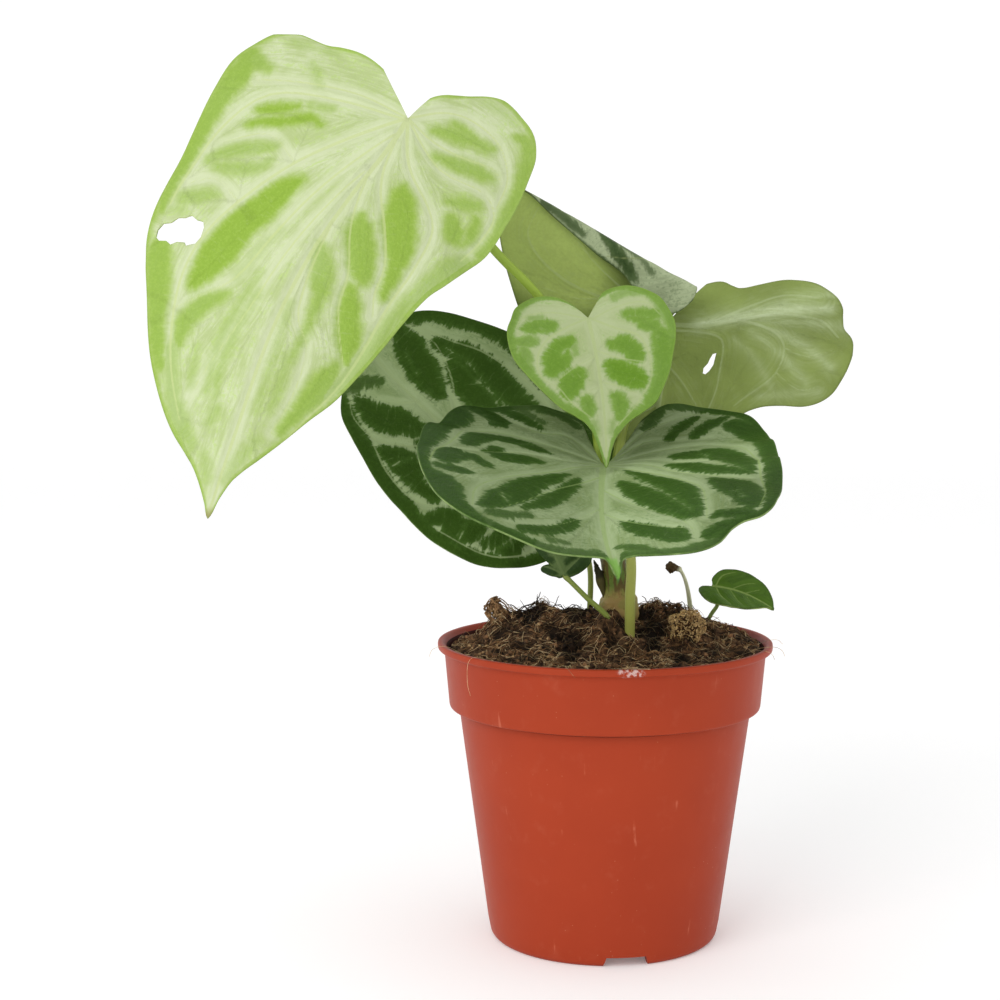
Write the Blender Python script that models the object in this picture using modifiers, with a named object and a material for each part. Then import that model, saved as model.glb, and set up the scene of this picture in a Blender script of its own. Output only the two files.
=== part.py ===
"""Potted anthurium: seven silver-veined leaves on their stalks, a seedling and a withered sprout,
in peat soil, in a tapered plastic nursery pot.

The sizes below are millimetres, measured from the pot's axis at the surface that the pot stands on,
with +X to the viewer's right and -Y towards the viewer. PLANT_SHIFT then sets the middle of the whole
plant's box over the origin."""

import math

import bmesh
import bpy
import numpy as np
from mathutils import Matrix, Vector

MM = 0.001
GAP = 0.3
PLANT_SHIFT = (31.0, 29.0)

# Pot: a 12 cm nursery pot with a stepped band under its lip
POT_HEIGHT = 107.2
LIP_RADIUS = 60.0
LIP_HEIGHT = 2.6
BAND_TOP_RADIUS = 57.6
BAND_BOTTOM_RADIUS = 55.8
BAND_BOTTOM_Z = 83.6
NECK_RADIUS = 52.3
BASE_RADIUS = 41.9
FOOT_RADIUS = 39.7
FOOT_WIDTH = 3.2
FOOT_HEIGHT = 3.6
FOOT_CORNER_Z = 6.5
WALL = 1.2
FLOOR = 1.6
POT_SIDES = 52
FOOT_GAPS = 3
FOOT_GAP_TOP, FOOT_GAP_BOTTOM = 14.0, 18.0
FIRST_FOOT_GAP = math.radians(-81.7)
DRAIN_HOLES, DRAIN_RADIUS, DRAIN_CIRCLE = 6, 4.0, 24.0

# Soil: a mound behind the middle that falls to the wall
SOIL_EDGE_Z = 102.5
MOUND_HEIGHT = 14.0
MOUND_MIDDLE = (2.0, 12.0)
MOUND_REACH = (48.0, 25.0)
SOIL_SLOPE = -0.06
SOIL_SPOKES, SOIL_RINGS = 42, 10
SOIL_RING_EASE = 0.85
GRAIN_HEIGHT = 0.8
CLOD_FALL = 1.6
# Each clod: x, y, radius, height
CLODS = ((31.0, 14.0, 7.0, 4.0), (-38.0, 10.0, 7.0, 5.0), (-22.0, 22.0, 8.0, 2.5), (17.0, 20.0, 7.0, 2.5))

# The curve bevel's resolution: 8 sides for a stalk, 12 for the stem
STALK_BEVEL = 2
STEM_BEVEL = 4
HOLE_GAP = 0.4
HOLE_HEIGHT = 30.0

# Main stem, bottom to top: x, y, z, radius
STEM = (
    (5.4, 4.0, 104.0, 5.4),
    (5.4, 4.0, 111.0, 6.0),
    (5.4, 4.0, 116.0, 7.0),
    (5.2, 3.9, 121.0, 6.9),
    (4.6, 3.6, 126.0, 5.0),
    (3.2, 3.2, 135.0, 4.5),
    (2.0, 3.2, 143.0, 4.6),
    (1.4, 3.4, 150.0, 5.1),
)

# Each stalk: its radius at the foot and at the leaf, and the points it passes, foot to leaf.
# "leaf" names the blade that it carries: the stalk then ends close under the blade's joint.
STALKS = {
    "stalk_top": dict(
        radius=(1.9, 1.5), leaf="leaf_top", points=(
            (-1.3, 5.2, 150.5), (-1.3, 5.4, 160.0), (-3.5, 7.5, 186.0), (-11.0, 10.0, 210.0),
            (-23.5, 9.0, 229.5), (-41.0, 2.0, 247.8), (-58.0, -4.0, 270.5))),
    "stalk_small": dict(
        radius=(1.2, 0.9), leaf="leaf_small", points=(
            (0.5, 0.4, 150.5), (0.5, 0.6, 160.0), (-0.5, 2.6, 180.0), (-4.0, 3.5, 205.0))),
    "stalk_back": dict(
        radius=(1.9, 1.6), leaf="leaf_back", points=(
            (3.8, 4.6, 150.5), (3.8, 4.8, 160.0), (5.6, 7.5, 178.0), (13.5, 16.0, 203.0))),
    "stalk_front": dict(
        radius=(1.9, 1.6), leaf="leaf_front", points=(
            (8.4, -9.0, 101.0), (8.4, -9.2, 110.0), (8.3, -11.5, 124.0), (8.3, -13.2, 139.0),
            (5.0, -15.0, 158.0))),
    "stalk_left": dict(
        radius=(1.1, 0.9), leaf="leaf_left", points=(
            (-4.6, 16.0, 106.0), (-4.6, 16.0, 115.0), (-5.2, 16.6, 134.0), (-14.0, 20.5, 151.0))),
    "stalk_low": dict(
        radius=(1.1, 0.9), leaf="leaf_low", points=(
            (1.6, -5.4, 103.0), (1.6, -5.4, 108.0), (1.4, -5.3, 113.5), (-4.5, -3.4, 122.5))),
    "stalk_seedling": dict(
        radius=(0.8, 0.7), leaf="leaf_seedling", points=(
            (38.8, 22.0, 101.0), (38.8, 22.0, 110.0), (40.0, 20.5, 117.0))),
}

# Withered sprout: a pale stalk whose brown tip is curled over. x, y, z, radius
SPROUT = (
    (33.6, 26.0, 100.0, 0.9),
    (33.6, 26.0, 110.0, 0.9),
    (32.9, 26.6, 118.0, 0.85),
    (31.7, 27.0, 124.0, 0.8),
    (29.9, 26.6, 128.6, 0.8),
    (27.2, 26.0, 130.6, 1.5),
    (24.9, 25.6, 130.2, 1.7),
    (24.4, 25.4, 128.4, 1.0),
)

# Dry sheath left standing at the main stem's side. x, y, z, radius
SHEATH = (
    (-1.9, 3.4, 124.6, 0.4),
    (-2.0, 3.2, 128.0, 0.75),
    (-2.5, 3.0, 132.0, 0.8),
    (-3.2, 2.8, 136.0, 0.35),
)

# Leaves. attach, bend and tip are the midrib's curve. face is where the upper side looks.
# sides gives, left and right of the midrib, the rise from it in degrees and its curl per 100 mm.
# reach gives how far the edge is from the joint, at an angle from the tip's direction, one lobe to
# the other. ripple is the edge wave's height and its number of waves. creases turn the blade over a
# line: where it passes, which way the turned part lies, the bend's radius, its angle, and the side.
BLADE, RIB = 0.8, 2.0
LEAVES = {
    "leaf_top": dict(
        attach=(-69, -18, 290.2), bend=(-117.5, -52, 242.8), tip=(-133.2, -58, 156.6),
        face=(-0.15, -1.0, 0.35), sides=((-6, 0), (-22, -10)), lobe_curl=0, ripple=(0.9, 9),
        reach=((-118, 24), (-112, 32.5), (-104, 41), (-100, 46.5), (-96, 58.2), (-92, 62.2), (-84, 66.8),
               (-68, 69.8), (-60, 71.8), (-52, 76), (-44, 83), (-36, 92.5), (-24, 106), (-16, 119.5),
               (-8, 134.5), (-5.5, 138.5), (-3.3, 143), (-1.8, 148), (-0.8, 152.5), (0, 157), (1, 150),
               (2, 144.3), (3.3, 140), (5.1, 135.5), (8, 128.5), (12, 119), (16, 111), (20, 101.5),
               (26, 88.5), (32, 78), (40, 68.6), (48, 63.5), (58, 58.5), (72, 54.5), (90, 50), (108, 47.5),
               (124, 48), (132, 47), (140, 43.5), (148, 39.8), (153, 36), (156, 31.5), (159, 25.5),
               (163, 21), (169, 17.3), (175, 15), (181, 12)),
        spokes=40, rings=7),
    "leaf_left": dict(
        attach=(-34.7, 19, 163.8), bend=(-62.7, 25, 194.1), tip=(-93.4, 45, 218.8),
        face=(0.0, -1.0, 0.6), sides=((6, 0), (6, 0)), lobe_curl=0, ripple=(0.7, 11),
        reach=((-166, 33), (-150, 37), (-135, 39), (-118, 41), (-100, 43), (-84, 46), (-68, 50), (-52, 54),
               (-45, 56.5), (-39, 59), (-31.4, 63.3), (-25, 68.4), (-20, 72.4), (-16, 75), (-10, 76.5),
               (-5, 78), (-2, 80.5), (0, 84.2), (2, 80), (6, 76), (12, 73), (20, 69), (27, 65.3),
               (33.4, 59.9), (42, 53.8), (52, 48.8), (63, 44.3), (76, 41), (90, 38.5), (106, 36.8),
               (122, 35.5), (144, 34.3), (163, 34)),
        spokes=38, rings=6),
    "leaf_small": dict(
        attach=(-6.8, -8, 222.4), bend=(-2.9, -20, 200.9), tip=(-1.5, -32, 172.8),
        face=(0.0, -1.0, 0.15), sides=((4, -6), (4, -6)), lobe_curl=0, ripple=(0.4, 8),
        reach=((-142, 8.2), (-134, 13.8), (-124, 19.3), (-117, 22.5), (-109, 25.5), (-97, 27.3),
               (-90, 28.7), (-78, 29.9), (-65, 31), (-51, 31.6), (-40, 33), (-30, 34.8), (-20, 37.3),
               (-13, 38.8), (-7, 41.8), (-4.4, 45), (-3, 48), (-1.6, 52), (0, 57), (1.2, 54), (2.3, 51),
               (4.2, 47.6), (7.8, 44.4), (12.4, 42), (20, 40.5), (29, 39.4), (36, 37.3), (46, 34.8),
               (56, 32.6), (67, 31.4), (77, 30.3), (86, 28.2), (96, 26), (106, 23), (117, 20.2),
               (124, 17.8), (132, 14.6), (142, 10.5)),
        spokes=34, rings=6),
    "leaf_front": dict(
        attach=(-1.4, -16, 171.4), bend=(-6, -80, 163.7), tip=(-2.6, -118, 145.6),
        face=(0.0, -0.3, 1.0), sides=((12, 0), (8, 0)), lobe_curl=60, ripple=(1.0, 12),
        reach=((-166, 40), (-159, 45), (-151, 47.5), (-143, 49.5), (-132, 55), (-117, 60.5), (-98, 61),
               (-84, 64), (-70, 68), (-60, 73), (-45, 83), (-37, 90), (-29, 95), (-21, 97), (-13, 97.2),
               (-5, 96.4), (-2.8, 98.5), (-1.7, 101), (-0.8, 103.5), (0, 106), (0.8, 103.5), (1.7, 101),
               (2.8, 99), (5, 98.2), (10, 99), (15, 99.2), (20, 97.2), (24, 93), (27, 92), (30, 93.5),
               (33, 92.5), (38.7, 87), (43.3, 82.2), (49.2, 76.4), (56, 71), (63, 66.4), (71.5, 62.8),
               (80.5, 60.7), (90, 59.6), (99.6, 59.6), (110.8, 61.5), (119, 62.2), (126, 61.5),
               (135, 59.5), (143, 56.8), (151, 53.5), (157, 49.5), (162, 42)),
        spokes=40, rings=7),
    "leaf_back": dict(
        attach=(23.6, 33, 219.7), bend=(23.8, 47, 187.3), tip=(15.2, 29, 141.7),
        face=(0.0, 1.0, 0.1), sides=((5, 0), (5, 0)), lobe_curl=0, ripple=(1.3, 13),
        reach=((-134, 22), (-127, 27.5), (-120, 29.5), (-115.5, 31), (-112.5, 34.5), (-110.5, 40),
               (-109, 46), (-106.4, 52), (-103.4, 57.6), (-100, 61.9), (-97, 65.2), (-94, 66.8),
               (-90, 67.2), (-87, 68.4), (-85, 71.5), (-82.2, 73), (-78.5, 72.8), (-74.6, 71.4), (-70, 69),
               (-66.3, 65.3), (-63.4, 61.3), (-60, 55.3), (-56, 50.4), (-50, 46.5), (-43, 45), (-36, 47),
               (-28, 52.5), (-15, 63), (-6, 71), (-2, 76), (0, 80), (2, 76), (8, 70), (20, 62), (39, 56),
               (55, 54), (70, 53), (84, 53), (96, 55), (103, 58.5), (109, 62.5), (115, 67), (121, 72),
               (126, 76), (131, 77), (136, 73), (142, 64), (150, 53), (160, 44.5), (170, 39.5), (180, 38),
               (190, 38), (200, 37), (208, 33), (215, 26)),
        creases=(
            dict(after=95, line=(-12.6, -12.2), towards=(-0.496, -0.868), radius=2.2, angle=172, side=-1),
            dict(before=-30, line=(0.0, 3.0), towards=(0.10, -0.995), radius=12.0, angle=74, side=1)),
        spokes=46, rings=8),
    "leaf_low": dict(
        attach=(-12.0, -1.0, 131.8), bend=(-17.0, -6.0, 132.8), tip=(-22.6, -12.0, 133.2),
        face=(0.0, -0.35, 1.0), sides=((10, 0), (10, 0)), lobe_curl=0, ripple=(0.2, 7),
        reach=((-160, 6), (-135, 8.5), (-105, 9.5), (-75, 10), (-45, 11), (-20, 13), (-6, 14.5), (0, 16.5),
               (6, 14.5), (20, 13), (45, 11), (75, 10), (105, 9.5), (135, 8.5), (160, 6)),
        spokes=18, rings=4),
    "leaf_seedling": dict(
        attach=(40.8, 18, 124.1), bend=(52.5, 18, 123.3), tip=(62.8, 14, 115.8),
        face=(0.2, -1.0, 1.2), sides=((8, 0), (8, 0)), lobe_curl=0, ripple=(0.2, 5),
        reach=((-155, 5.5), (-130, 8), (-105, 9), (-90, 10.5), (-78, 12), (-60, 13), (-40, 15), (-30, 16.3),
               (-20, 18.5), (-10, 20.8), (-3, 23), (0, 24.3), (4, 24), (10, 22.5), (20, 20.3), (30, 18),
               (40, 15.4), (50, 12.5), (60, 10.5), (75, 7.3), (90, 5), (110, 4), (150, 3.5)),
        spokes=18, rings=4),
}

# Torn holes: leaf, where it is from the joint (across, towards the tip), half sizes and turn in degrees
HOLES = (
    ("leaf_top", (-44.0, 71.0), (9.0, 5.2), -14, (1.0, 1.1, 0.9, 1.05, 0.85, 1.1, 0.95, 0.9, 1.0)),
    ("leaf_back", (-16.6, 14.6), (1.3, 3.8), -26, (1.0, 0.8, 1.1, 0.7, 1.0, 0.9, 1.1)),
)

COLOURS = {
    "pot": ((0.50, 0.075, 0.030), 0.38),
    "soil": ((0.045, 0.028, 0.018), 0.95),
    "leaf_top": ((0.42, 0.60, 0.16), 0.42),
    "leaf_small": ((0.30, 0.52, 0.10), 0.42),
    "leaf_left": ((0.035, 0.13, 0.025), 0.38),
    "leaf_front": ((0.05, 0.15, 0.04), 0.38),
    "leaf_back": ((0.20, 0.30, 0.09), 0.5),
    "leaf_low": ((0.025, 0.10, 0.02), 0.4),
    "leaf_seedling": ((0.05, 0.20, 0.025), 0.38),
    "stalk": ((0.24, 0.40, 0.08), 0.45),
    "stem": ((0.22, 0.20, 0.06), 0.6),
    "sprout": ((0.55, 0.47, 0.30), 0.7),
    "sheath": ((0.07, 0.035, 0.015), 0.85),
}


def clear_scene():
    for thing in list(bpy.data.objects):
        bpy.data.objects.remove(thing, do_unlink=True)


def new_collection(name):
    collection = bpy.data.collections.new(name)
    bpy.context.scene.collection.children.link(collection)
    return collection


def material(name):
    colour, roughness = COLOURS[name]
    made = bpy.data.materials.get(name) or bpy.data.materials.new(name)
    made.use_nodes = True
    shader = made.node_tree.nodes["Principled BSDF"]
    shader.inputs["Base Color"].default_value = (*colour, 1.0)
    shader.inputs["Roughness"].default_value = roughness
    shader.inputs["Metallic"].default_value = 0.0
    return made


def add_object(name, data, collection, finish=None):
    thing = bpy.data.objects.new(name, data)
    collection.objects.link(thing)
    if finish:
        data.materials.append(material(finish))
    return thing


def mesh_from(bm, name, sharp_degrees=40):
    mesh = bpy.data.meshes.new(name)
    bm.to_mesh(mesh)
    bm.free()
    mesh.shade_smooth()
    mesh.set_sharp_from_angle(angle=math.radians(sharp_degrees))
    return mesh


def cut(thing, cutter):
    cutter.hide_render = True
    cutter.display_type = "WIRE"
    boolean = thing.modifiers.new(cutter.name, "BOOLEAN")
    boolean.operation = "DIFFERENCE"
    boolean.solver = "EXACT"
    boolean.object = cutter


def turned(profile, steps):
    """A closed solid of revolution from (radius, z) points, which start and end on the axis."""
    bm = bmesh.new()
    corners = [bm.verts.new((radius * MM, 0.0, z * MM)) for radius, z in profile]
    edges = [bm.edges.new(pair) for pair in zip(corners, corners[1:])]
    bmesh.ops.spin(
        bm, geom=corners + edges, cent=(0, 0, 0), axis=(0, 0, 1), angle=math.tau, steps=steps, use_merge=True)
    bmesh.ops.remove_doubles(bm, verts=bm.verts, dist=1e-6)
    bmesh.ops.recalc_face_normals(bm, faces=bm.faces)
    return bm


def inner_radius(z):
    """The pot wall's inner radius at a height."""
    heights = (FOOT_HEIGHT, FOOT_CORNER_Z, BAND_BOTTOM_Z - WALL, BAND_BOTTOM_Z + WALL, POT_HEIGHT)
    radii = (
        FOOT_RADIUS - WALL, BASE_RADIUS - WALL, NECK_RADIUS - WALL,
        BAND_BOTTOM_RADIUS - WALL, BAND_TOP_RADIUS - WALL)
    return float(np.interp(z, heights, radii))


def build_pot(parts, cutters):
    lip_bottom = POT_HEIGHT - LIP_HEIGHT
    round_off = 0.7
    outside = (
        (0.0, FOOT_HEIGHT),
        (FOOT_RADIUS - FOOT_WIDTH - 0.5, FOOT_HEIGHT),
        (FOOT_RADIUS - FOOT_WIDTH, 0.0),
        (FOOT_RADIUS, 0.0),
        (FOOT_RADIUS + 1.2, 1.4),
        (BASE_RADIUS, FOOT_CORNER_Z),
        (NECK_RADIUS, BAND_BOTTOM_Z - round_off),
        (NECK_RADIUS + round_off, BAND_BOTTOM_Z),
        (BAND_BOTTOM_RADIUS - round_off, BAND_BOTTOM_Z + 0.2),
        (BAND_BOTTOM_RADIUS, BAND_BOTTOM_Z + 1.4),
        (BAND_TOP_RADIUS, lip_bottom - 0.4),
        (LIP_RADIUS - 0.3, lip_bottom),
        (LIP_RADIUS, lip_bottom + 0.4),
        (LIP_RADIUS, POT_HEIGHT - 0.6),
        (LIP_RADIUS - 0.7, POT_HEIGHT),
    )
    inside = (
        (BAND_TOP_RADIUS - WALL + 0.7, POT_HEIGHT),
        (BAND_TOP_RADIUS - WALL, POT_HEIGHT - 1.2),
        (inner_radius(BAND_BOTTOM_Z + WALL), BAND_BOTTOM_Z + WALL),
        (inner_radius(BAND_BOTTOM_Z - WALL), BAND_BOTTOM_Z - WALL),
        (inner_radius(FOOT_CORNER_Z), FOOT_CORNER_Z),
        (FOOT_RADIUS - WALL, FOOT_HEIGHT + FLOOR),
        (0.0, FOOT_HEIGHT + FLOOR),
    )
    pot = add_object("pot", mesh_from(turned(outside + inside, POT_SIDES), "pot"), parts, "pot")
    bm = bmesh.new()
    for index in range(FOOT_GAPS):
        turn = Matrix.Rotation(FIRST_FOOT_GAP + index * math.tau / FOOT_GAPS, 4, "Z")
        wedge = bmesh.ops.create_cube(bm, size=1.0)["verts"]
        for corner in wedge:
            wide = FOOT_GAP_TOP if corner.co.z > 0 else FOOT_GAP_BOTTOM
            along = FOOT_RADIUS + corner.co.x * 14.0
            up = FOOT_HEIGHT - 0.15 if corner.co.z > 0 else -2.0
            corner.co = turn @ Vector((along * MM, corner.co.y * wide * MM, up * MM))
    for index in range(DRAIN_HOLES):
        angle = math.tau * (index + 0.5) / DRAIN_HOLES
        place = Matrix.Translation((
            DRAIN_CIRCLE * math.cos(angle) * MM, DRAIN_CIRCLE * math.sin(angle) * MM, FOOT_HEIGHT * MM))
        bmesh.ops.create_cone(
            bm, cap_ends=True, segments=16, radius1=DRAIN_RADIUS * MM, radius2=DRAIN_RADIUS * MM,
            depth=4 * FLOOR * MM, matrix=place)
    bmesh.ops.recalc_face_normals(bm, faces=bm.faces)
    cut(pot, add_object("pot_cutter", mesh_from(bm, "pot_cutter"), cutters))


def soil_height(x, y):
    """The soil's surface: a broad mound, clods and a small grain that follows sine waves."""
    across = ((x - MOUND_MIDDLE[0]) / MOUND_REACH[0]) ** 4
    deep = ((y - MOUND_MIDDLE[1]) / MOUND_REACH[1]) ** 2
    z = SOIL_EDGE_Z + MOUND_HEIGHT * math.exp(-across - deep) + SOIL_SLOPE * y
    for clod_x, clod_y, radius, height in CLODS:
        z += height * math.exp(-((x - clod_x) ** 2 + (y - clod_y) ** 2) / radius**2 * CLOD_FALL)
    wave_x = math.sin(0.62 * x + 1.3 * math.sin(0.31 * y))
    wave_y = math.sin(0.55 * y + 1.1 * math.sin(0.37 * x + 1.0))
    return z + GRAIN_HEIGHT * wave_x * wave_y


def build_soil(parts, cutters):
    edge = inner_radius(SOIL_EDGE_Z - 3.0) - GAP - 0.1
    floor = FOOT_HEIGHT + FLOOR + GAP
    wall = (
        (0.0, floor),
        (FOOT_RADIUS - WALL - 1.0, floor),
        (inner_radius(FOOT_CORNER_Z) - GAP - 0.1, FOOT_CORNER_Z + 0.6),
        (inner_radius(BAND_BOTTOM_Z - WALL) - GAP - 0.1, BAND_BOTTOM_Z - WALL + 0.3),
        (inner_radius(BAND_BOTTOM_Z + WALL) - GAP - 0.1, BAND_BOTTOM_Z + WALL + 0.6),
    )
    top = tuple(
        (edge * (1 - ring / SOIL_RINGS) ** SOIL_RING_EASE, SOIL_EDGE_Z) for ring in range(SOIL_RINGS + 1))
    bm = turned(wall + top, SOIL_SPOKES)
    for corner in bm.verts:
        if corner.co.z > (SOIL_EDGE_Z - 0.1) * MM:
            corner.co.z = soil_height(corner.co.x / MM, corner.co.y / MM) * MM
    soil = add_object("soil", mesh_from(bm, "soil"), parts, "soil")
    feet = [(STEM[0], max(point[3] for point in STEM[:4])), (SPROUT[0], SPROUT[0][3])]
    for stalk in STALKS.values():
        if stalk["points"][0][2] < SOIL_EDGE_Z + MOUND_HEIGHT:
            feet.append((stalk["points"][0], stalk["radius"][0]))
    bm = bmesh.new()
    for foot, radius in feet:
        middle = foot[2] - GAP + HOLE_HEIGHT / 2
        place = Matrix.Translation((foot[0] * MM, foot[1] * MM, middle * MM))
        bmesh.ops.create_cone(
            bm, cap_ends=True, segments=20 if radius > 3 else 12, radius1=(radius + HOLE_GAP) * MM,
            radius2=(radius + HOLE_GAP) * MM, depth=HOLE_HEIGHT * MM, matrix=place)
    bmesh.ops.recalc_face_normals(bm, faces=bm.faces)
    cut(soil, add_object("soil_cutter", mesh_from(bm, "soil_cutter"), cutters))


def smooth_path(points, count):
    """Points along a Catmull-Rom curve through the given rows of numbers."""
    rows = np.array(points, float)
    rows = np.vstack([2 * rows[0] - rows[1], rows, 2 * rows[-1] - rows[-2]])
    spans = len(rows) - 3
    path = []
    for step in np.linspace(0, spans, count):
        span = min(int(step), spans - 1)
        t = step - span
        a, b, c, d = rows[span : span + 4]
        squared, cubed = 2 * a - 5 * b + 4 * c - d, 3 * b - a - 3 * c + d
        path.append(0.5 * (2 * b + (c - a) * t + squared * t**2 + cubed * t**3))
    return np.array(path)


def tube(name, rows, count, bevel, parts, finish):
    """A round stalk along (x, y, z, radius) rows."""
    path = smooth_path(rows, count)
    curve = bpy.data.curves.new(name, "CURVE")
    curve.dimensions = "3D"
    curve.bevel_depth = MM  # each point's radius is then in millimetres
    curve.bevel_resolution = bevel
    curve.use_fill_caps = True
    spline = curve.splines.new("POLY")
    spline.points.add(len(path) - 1)
    for point, (x, y, z, radius) in zip(spline.points, path):
        point.co = (x * MM, y * MM, z * MM, 1.0)
        point.radius = radius
    return add_object(name, curve, parts, finish)


def unit(vectors):
    return vectors / np.linalg.norm(vectors, axis=-1, keepdims=True)


def smooth_reach(leaf, degrees):
    """How far the edge is from the joint at an angle: a smooth curve through the leaf's reach."""
    angles, reaches = np.array(leaf["reach"], float).T
    slopes = np.gradient(reaches, angles)
    first = np.clip(np.searchsorted(angles, degrees) - 1, 0, len(angles) - 2)
    span = angles[first + 1] - angles[first]
    t = (degrees - angles[first]) / span
    start = reaches[first] * (2 * t**3 - 3 * t**2 + 1) + slopes[first] * span * (t**3 - 2 * t**2 + t)
    return start + reaches[first + 1] * (3 * t**2 - 2 * t**3) + slopes[first + 1] * span * (t**3 - t**2)


class Blade:
    """A leaf's surface: a point for each place across (+ is to the right) and along the midrib."""

    def __init__(self, leaf):
        self.leaf = leaf
        self.start, self.bend, self.end = (np.array(leaf[key], float) for key in ("attach", "bend", "tip"))
        self.steps = np.linspace(0, 1, 81)
        rib = self.rib_curve(self.steps[:, None])[0]
        self.lengths = np.r_[0, np.cumsum(np.linalg.norm(np.diff(rib, axis=0), axis=1))]

    def rib_curve(self, t):
        point = (1 - t) ** 2 * self.start + 2 * t * (1 - t) * self.bend + t * t * self.end
        return point, unit(2 * (1 - t) * (self.bend - self.start) + 2 * t * (self.end - self.bend))

    def frame(self, along):
        """The midrib's point, its direction, the way across and the way up from the blade."""
        point, forward = self.rib_curve(np.interp(along, self.lengths, self.steps)[..., None])
        across = unit(np.cross(unit(np.array(self.leaf["face"], float)), forward))
        up = np.cross(forward, across)
        behind = -np.minimum(along, 0.0)[..., None]
        curl = math.radians(self.leaf["lobe_curl"]) / 100 + 1e-9
        turn = behind * curl
        point = point - forward * np.sin(turn) / curl + up * (1 - np.cos(turn)) / curl
        forward, up = forward * np.cos(turn) - up * np.sin(turn), up * np.cos(turn) + forward * np.sin(turn)
        return point, forward, across, up

    def creased(self, across, along, degrees):
        """Where each place goes when the creases are turned over, and its height off the blade."""
        height = np.zeros_like(across)
        for crease in self.leaf.get("creases", ()):
            ahead = np.array(crease["towards"])
            beyond = (across - crease["line"][0]) * ahead[0] + (along - crease["line"][1]) * ahead[1]
            turned_part = (beyond > 0) & (degrees > crease.get("after", -360))
            turned_part &= degrees < crease.get("before", 360)
            full = math.radians(crease["angle"])
            turn = np.minimum(beyond / crease["radius"], full)
            rest = beyond - crease["radius"] * turn
            moved = crease["radius"] * np.sin(turn) + rest * np.cos(turn)
            lifted = crease["radius"] * (1 - np.cos(turn)) + rest * np.sin(turn)
            across = across + np.where(turned_part, moved - beyond, 0.0) * ahead[0]
            along = along + np.where(turned_part, moved - beyond, 0.0) * ahead[1]
            height = height + np.where(turned_part, lifted, 0.0) * crease["side"]
        return across, along, height

    def place(self, across, along, height=0.0):
        point, _, side, up = self.frame(along)
        distance = np.abs(across)
        out, rise = np.zeros_like(across), np.zeros_like(across)
        for chosen, (lean, curl) in zip((across < 0, across >= 0), self.leaf["sides"]):
            lean, curl = math.radians(lean), math.radians(curl) / 100 + 1e-9
            out = np.where(chosen, (np.sin(lean + curl * distance) - math.sin(lean)) / curl, out)
            rise = np.where(chosen, (math.cos(lean) - np.cos(lean + curl * distance)) / curl, rise)
        return point + side * (out * np.sign(across))[..., None] + up * (rise + height)[..., None]

    def polar(self, share, degrees):
        """The point at a share of the edge's reach, and its places across and along."""
        reach = smooth_reach(self.leaf, degrees)
        across = share * reach * np.sin(np.radians(degrees))
        along = share * reach * np.cos(np.radians(degrees))
        wave_height, waves = self.leaf["ripple"]
        ripple = wave_height * share**3 * np.sin(np.radians(degrees) * waves + 0.7)
        moved_across, moved_along, height = self.creased(across, along, degrees)
        return self.place(moved_across, moved_along, height + ripple), across, along


def spoke_angles(leaf):
    """The spokes' angles: even steps along the edge, from each lobe to the tip."""
    angles = []
    for end in (leaf["reach"][0][0], leaf["reach"][-1][0]):
        degrees = np.linspace(end, 0, 721)
        reach = smooth_reach(leaf, degrees)
        edge = np.stack([reach * np.sin(np.radians(degrees)), reach * np.cos(np.radians(degrees))], 1)
        run = np.r_[0, np.cumsum(np.linalg.norm(np.diff(edge, axis=0), axis=1))]
        angles.append(np.interp(np.linspace(0, run[-1], leaf["spokes"] // 2 + 1), run, degrees))
    return np.r_[angles[0], angles[1][-2::-1]]


def build_leaf(name, parts):
    leaf = LEAVES[name]
    blade = Blade(leaf)
    bm = bmesh.new()
    layer = bm.verts.layers.deform.verify()
    bmesh.ops.create_grid(bm, x_segments=leaf["rings"], y_segments=leaf["spokes"], size=0.5)
    corners = list(bm.verts)
    grid = np.array([corner.co for corner in corners])
    share = (grid[:, 0] + 0.5) ** 0.8
    angles = spoke_angles(leaf)
    degrees = angles[np.rint((grid[:, 1] + 0.5) * leaf["spokes"]).astype(int)]
    points, across, along = blade.polar(share, degrees)
    weights = np.exp(-((across / 1.3) ** 2)) * np.clip(1.1 - along / blade.lengths[-1], 0, 1) * (along > -1.5)
    for corner, point, weight in zip(corners, points, weights):
        corner.co = point * MM
        corner[layer][0] = float(weight)
    bmesh.ops.remove_doubles(bm, verts=bm.verts, dist=1e-6)
    bmesh.ops.triangulate(bm, faces=bm.faces)
    bm.normal_update()
    up = Vector(blade.frame(np.array(blade.lengths[-1] / 2))[3])
    if sum(face.calc_area() * face.normal.dot(up) for face in bm.faces) < 0:
        bmesh.ops.reverse_faces(bm, faces=bm.faces)
    thing = add_object(name, mesh_from(bm, name, 80), parts, name)
    thing.vertex_groups.new(name="rib")
    wall = thing.modifiers.new("thickness", "SOLIDIFY")
    wall.thickness = RIB * MM
    wall.vertex_group = "rib"
    wall.thickness_vertex_group = BLADE / RIB
    wall.offset = -1.0
    return thing, blade


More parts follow.
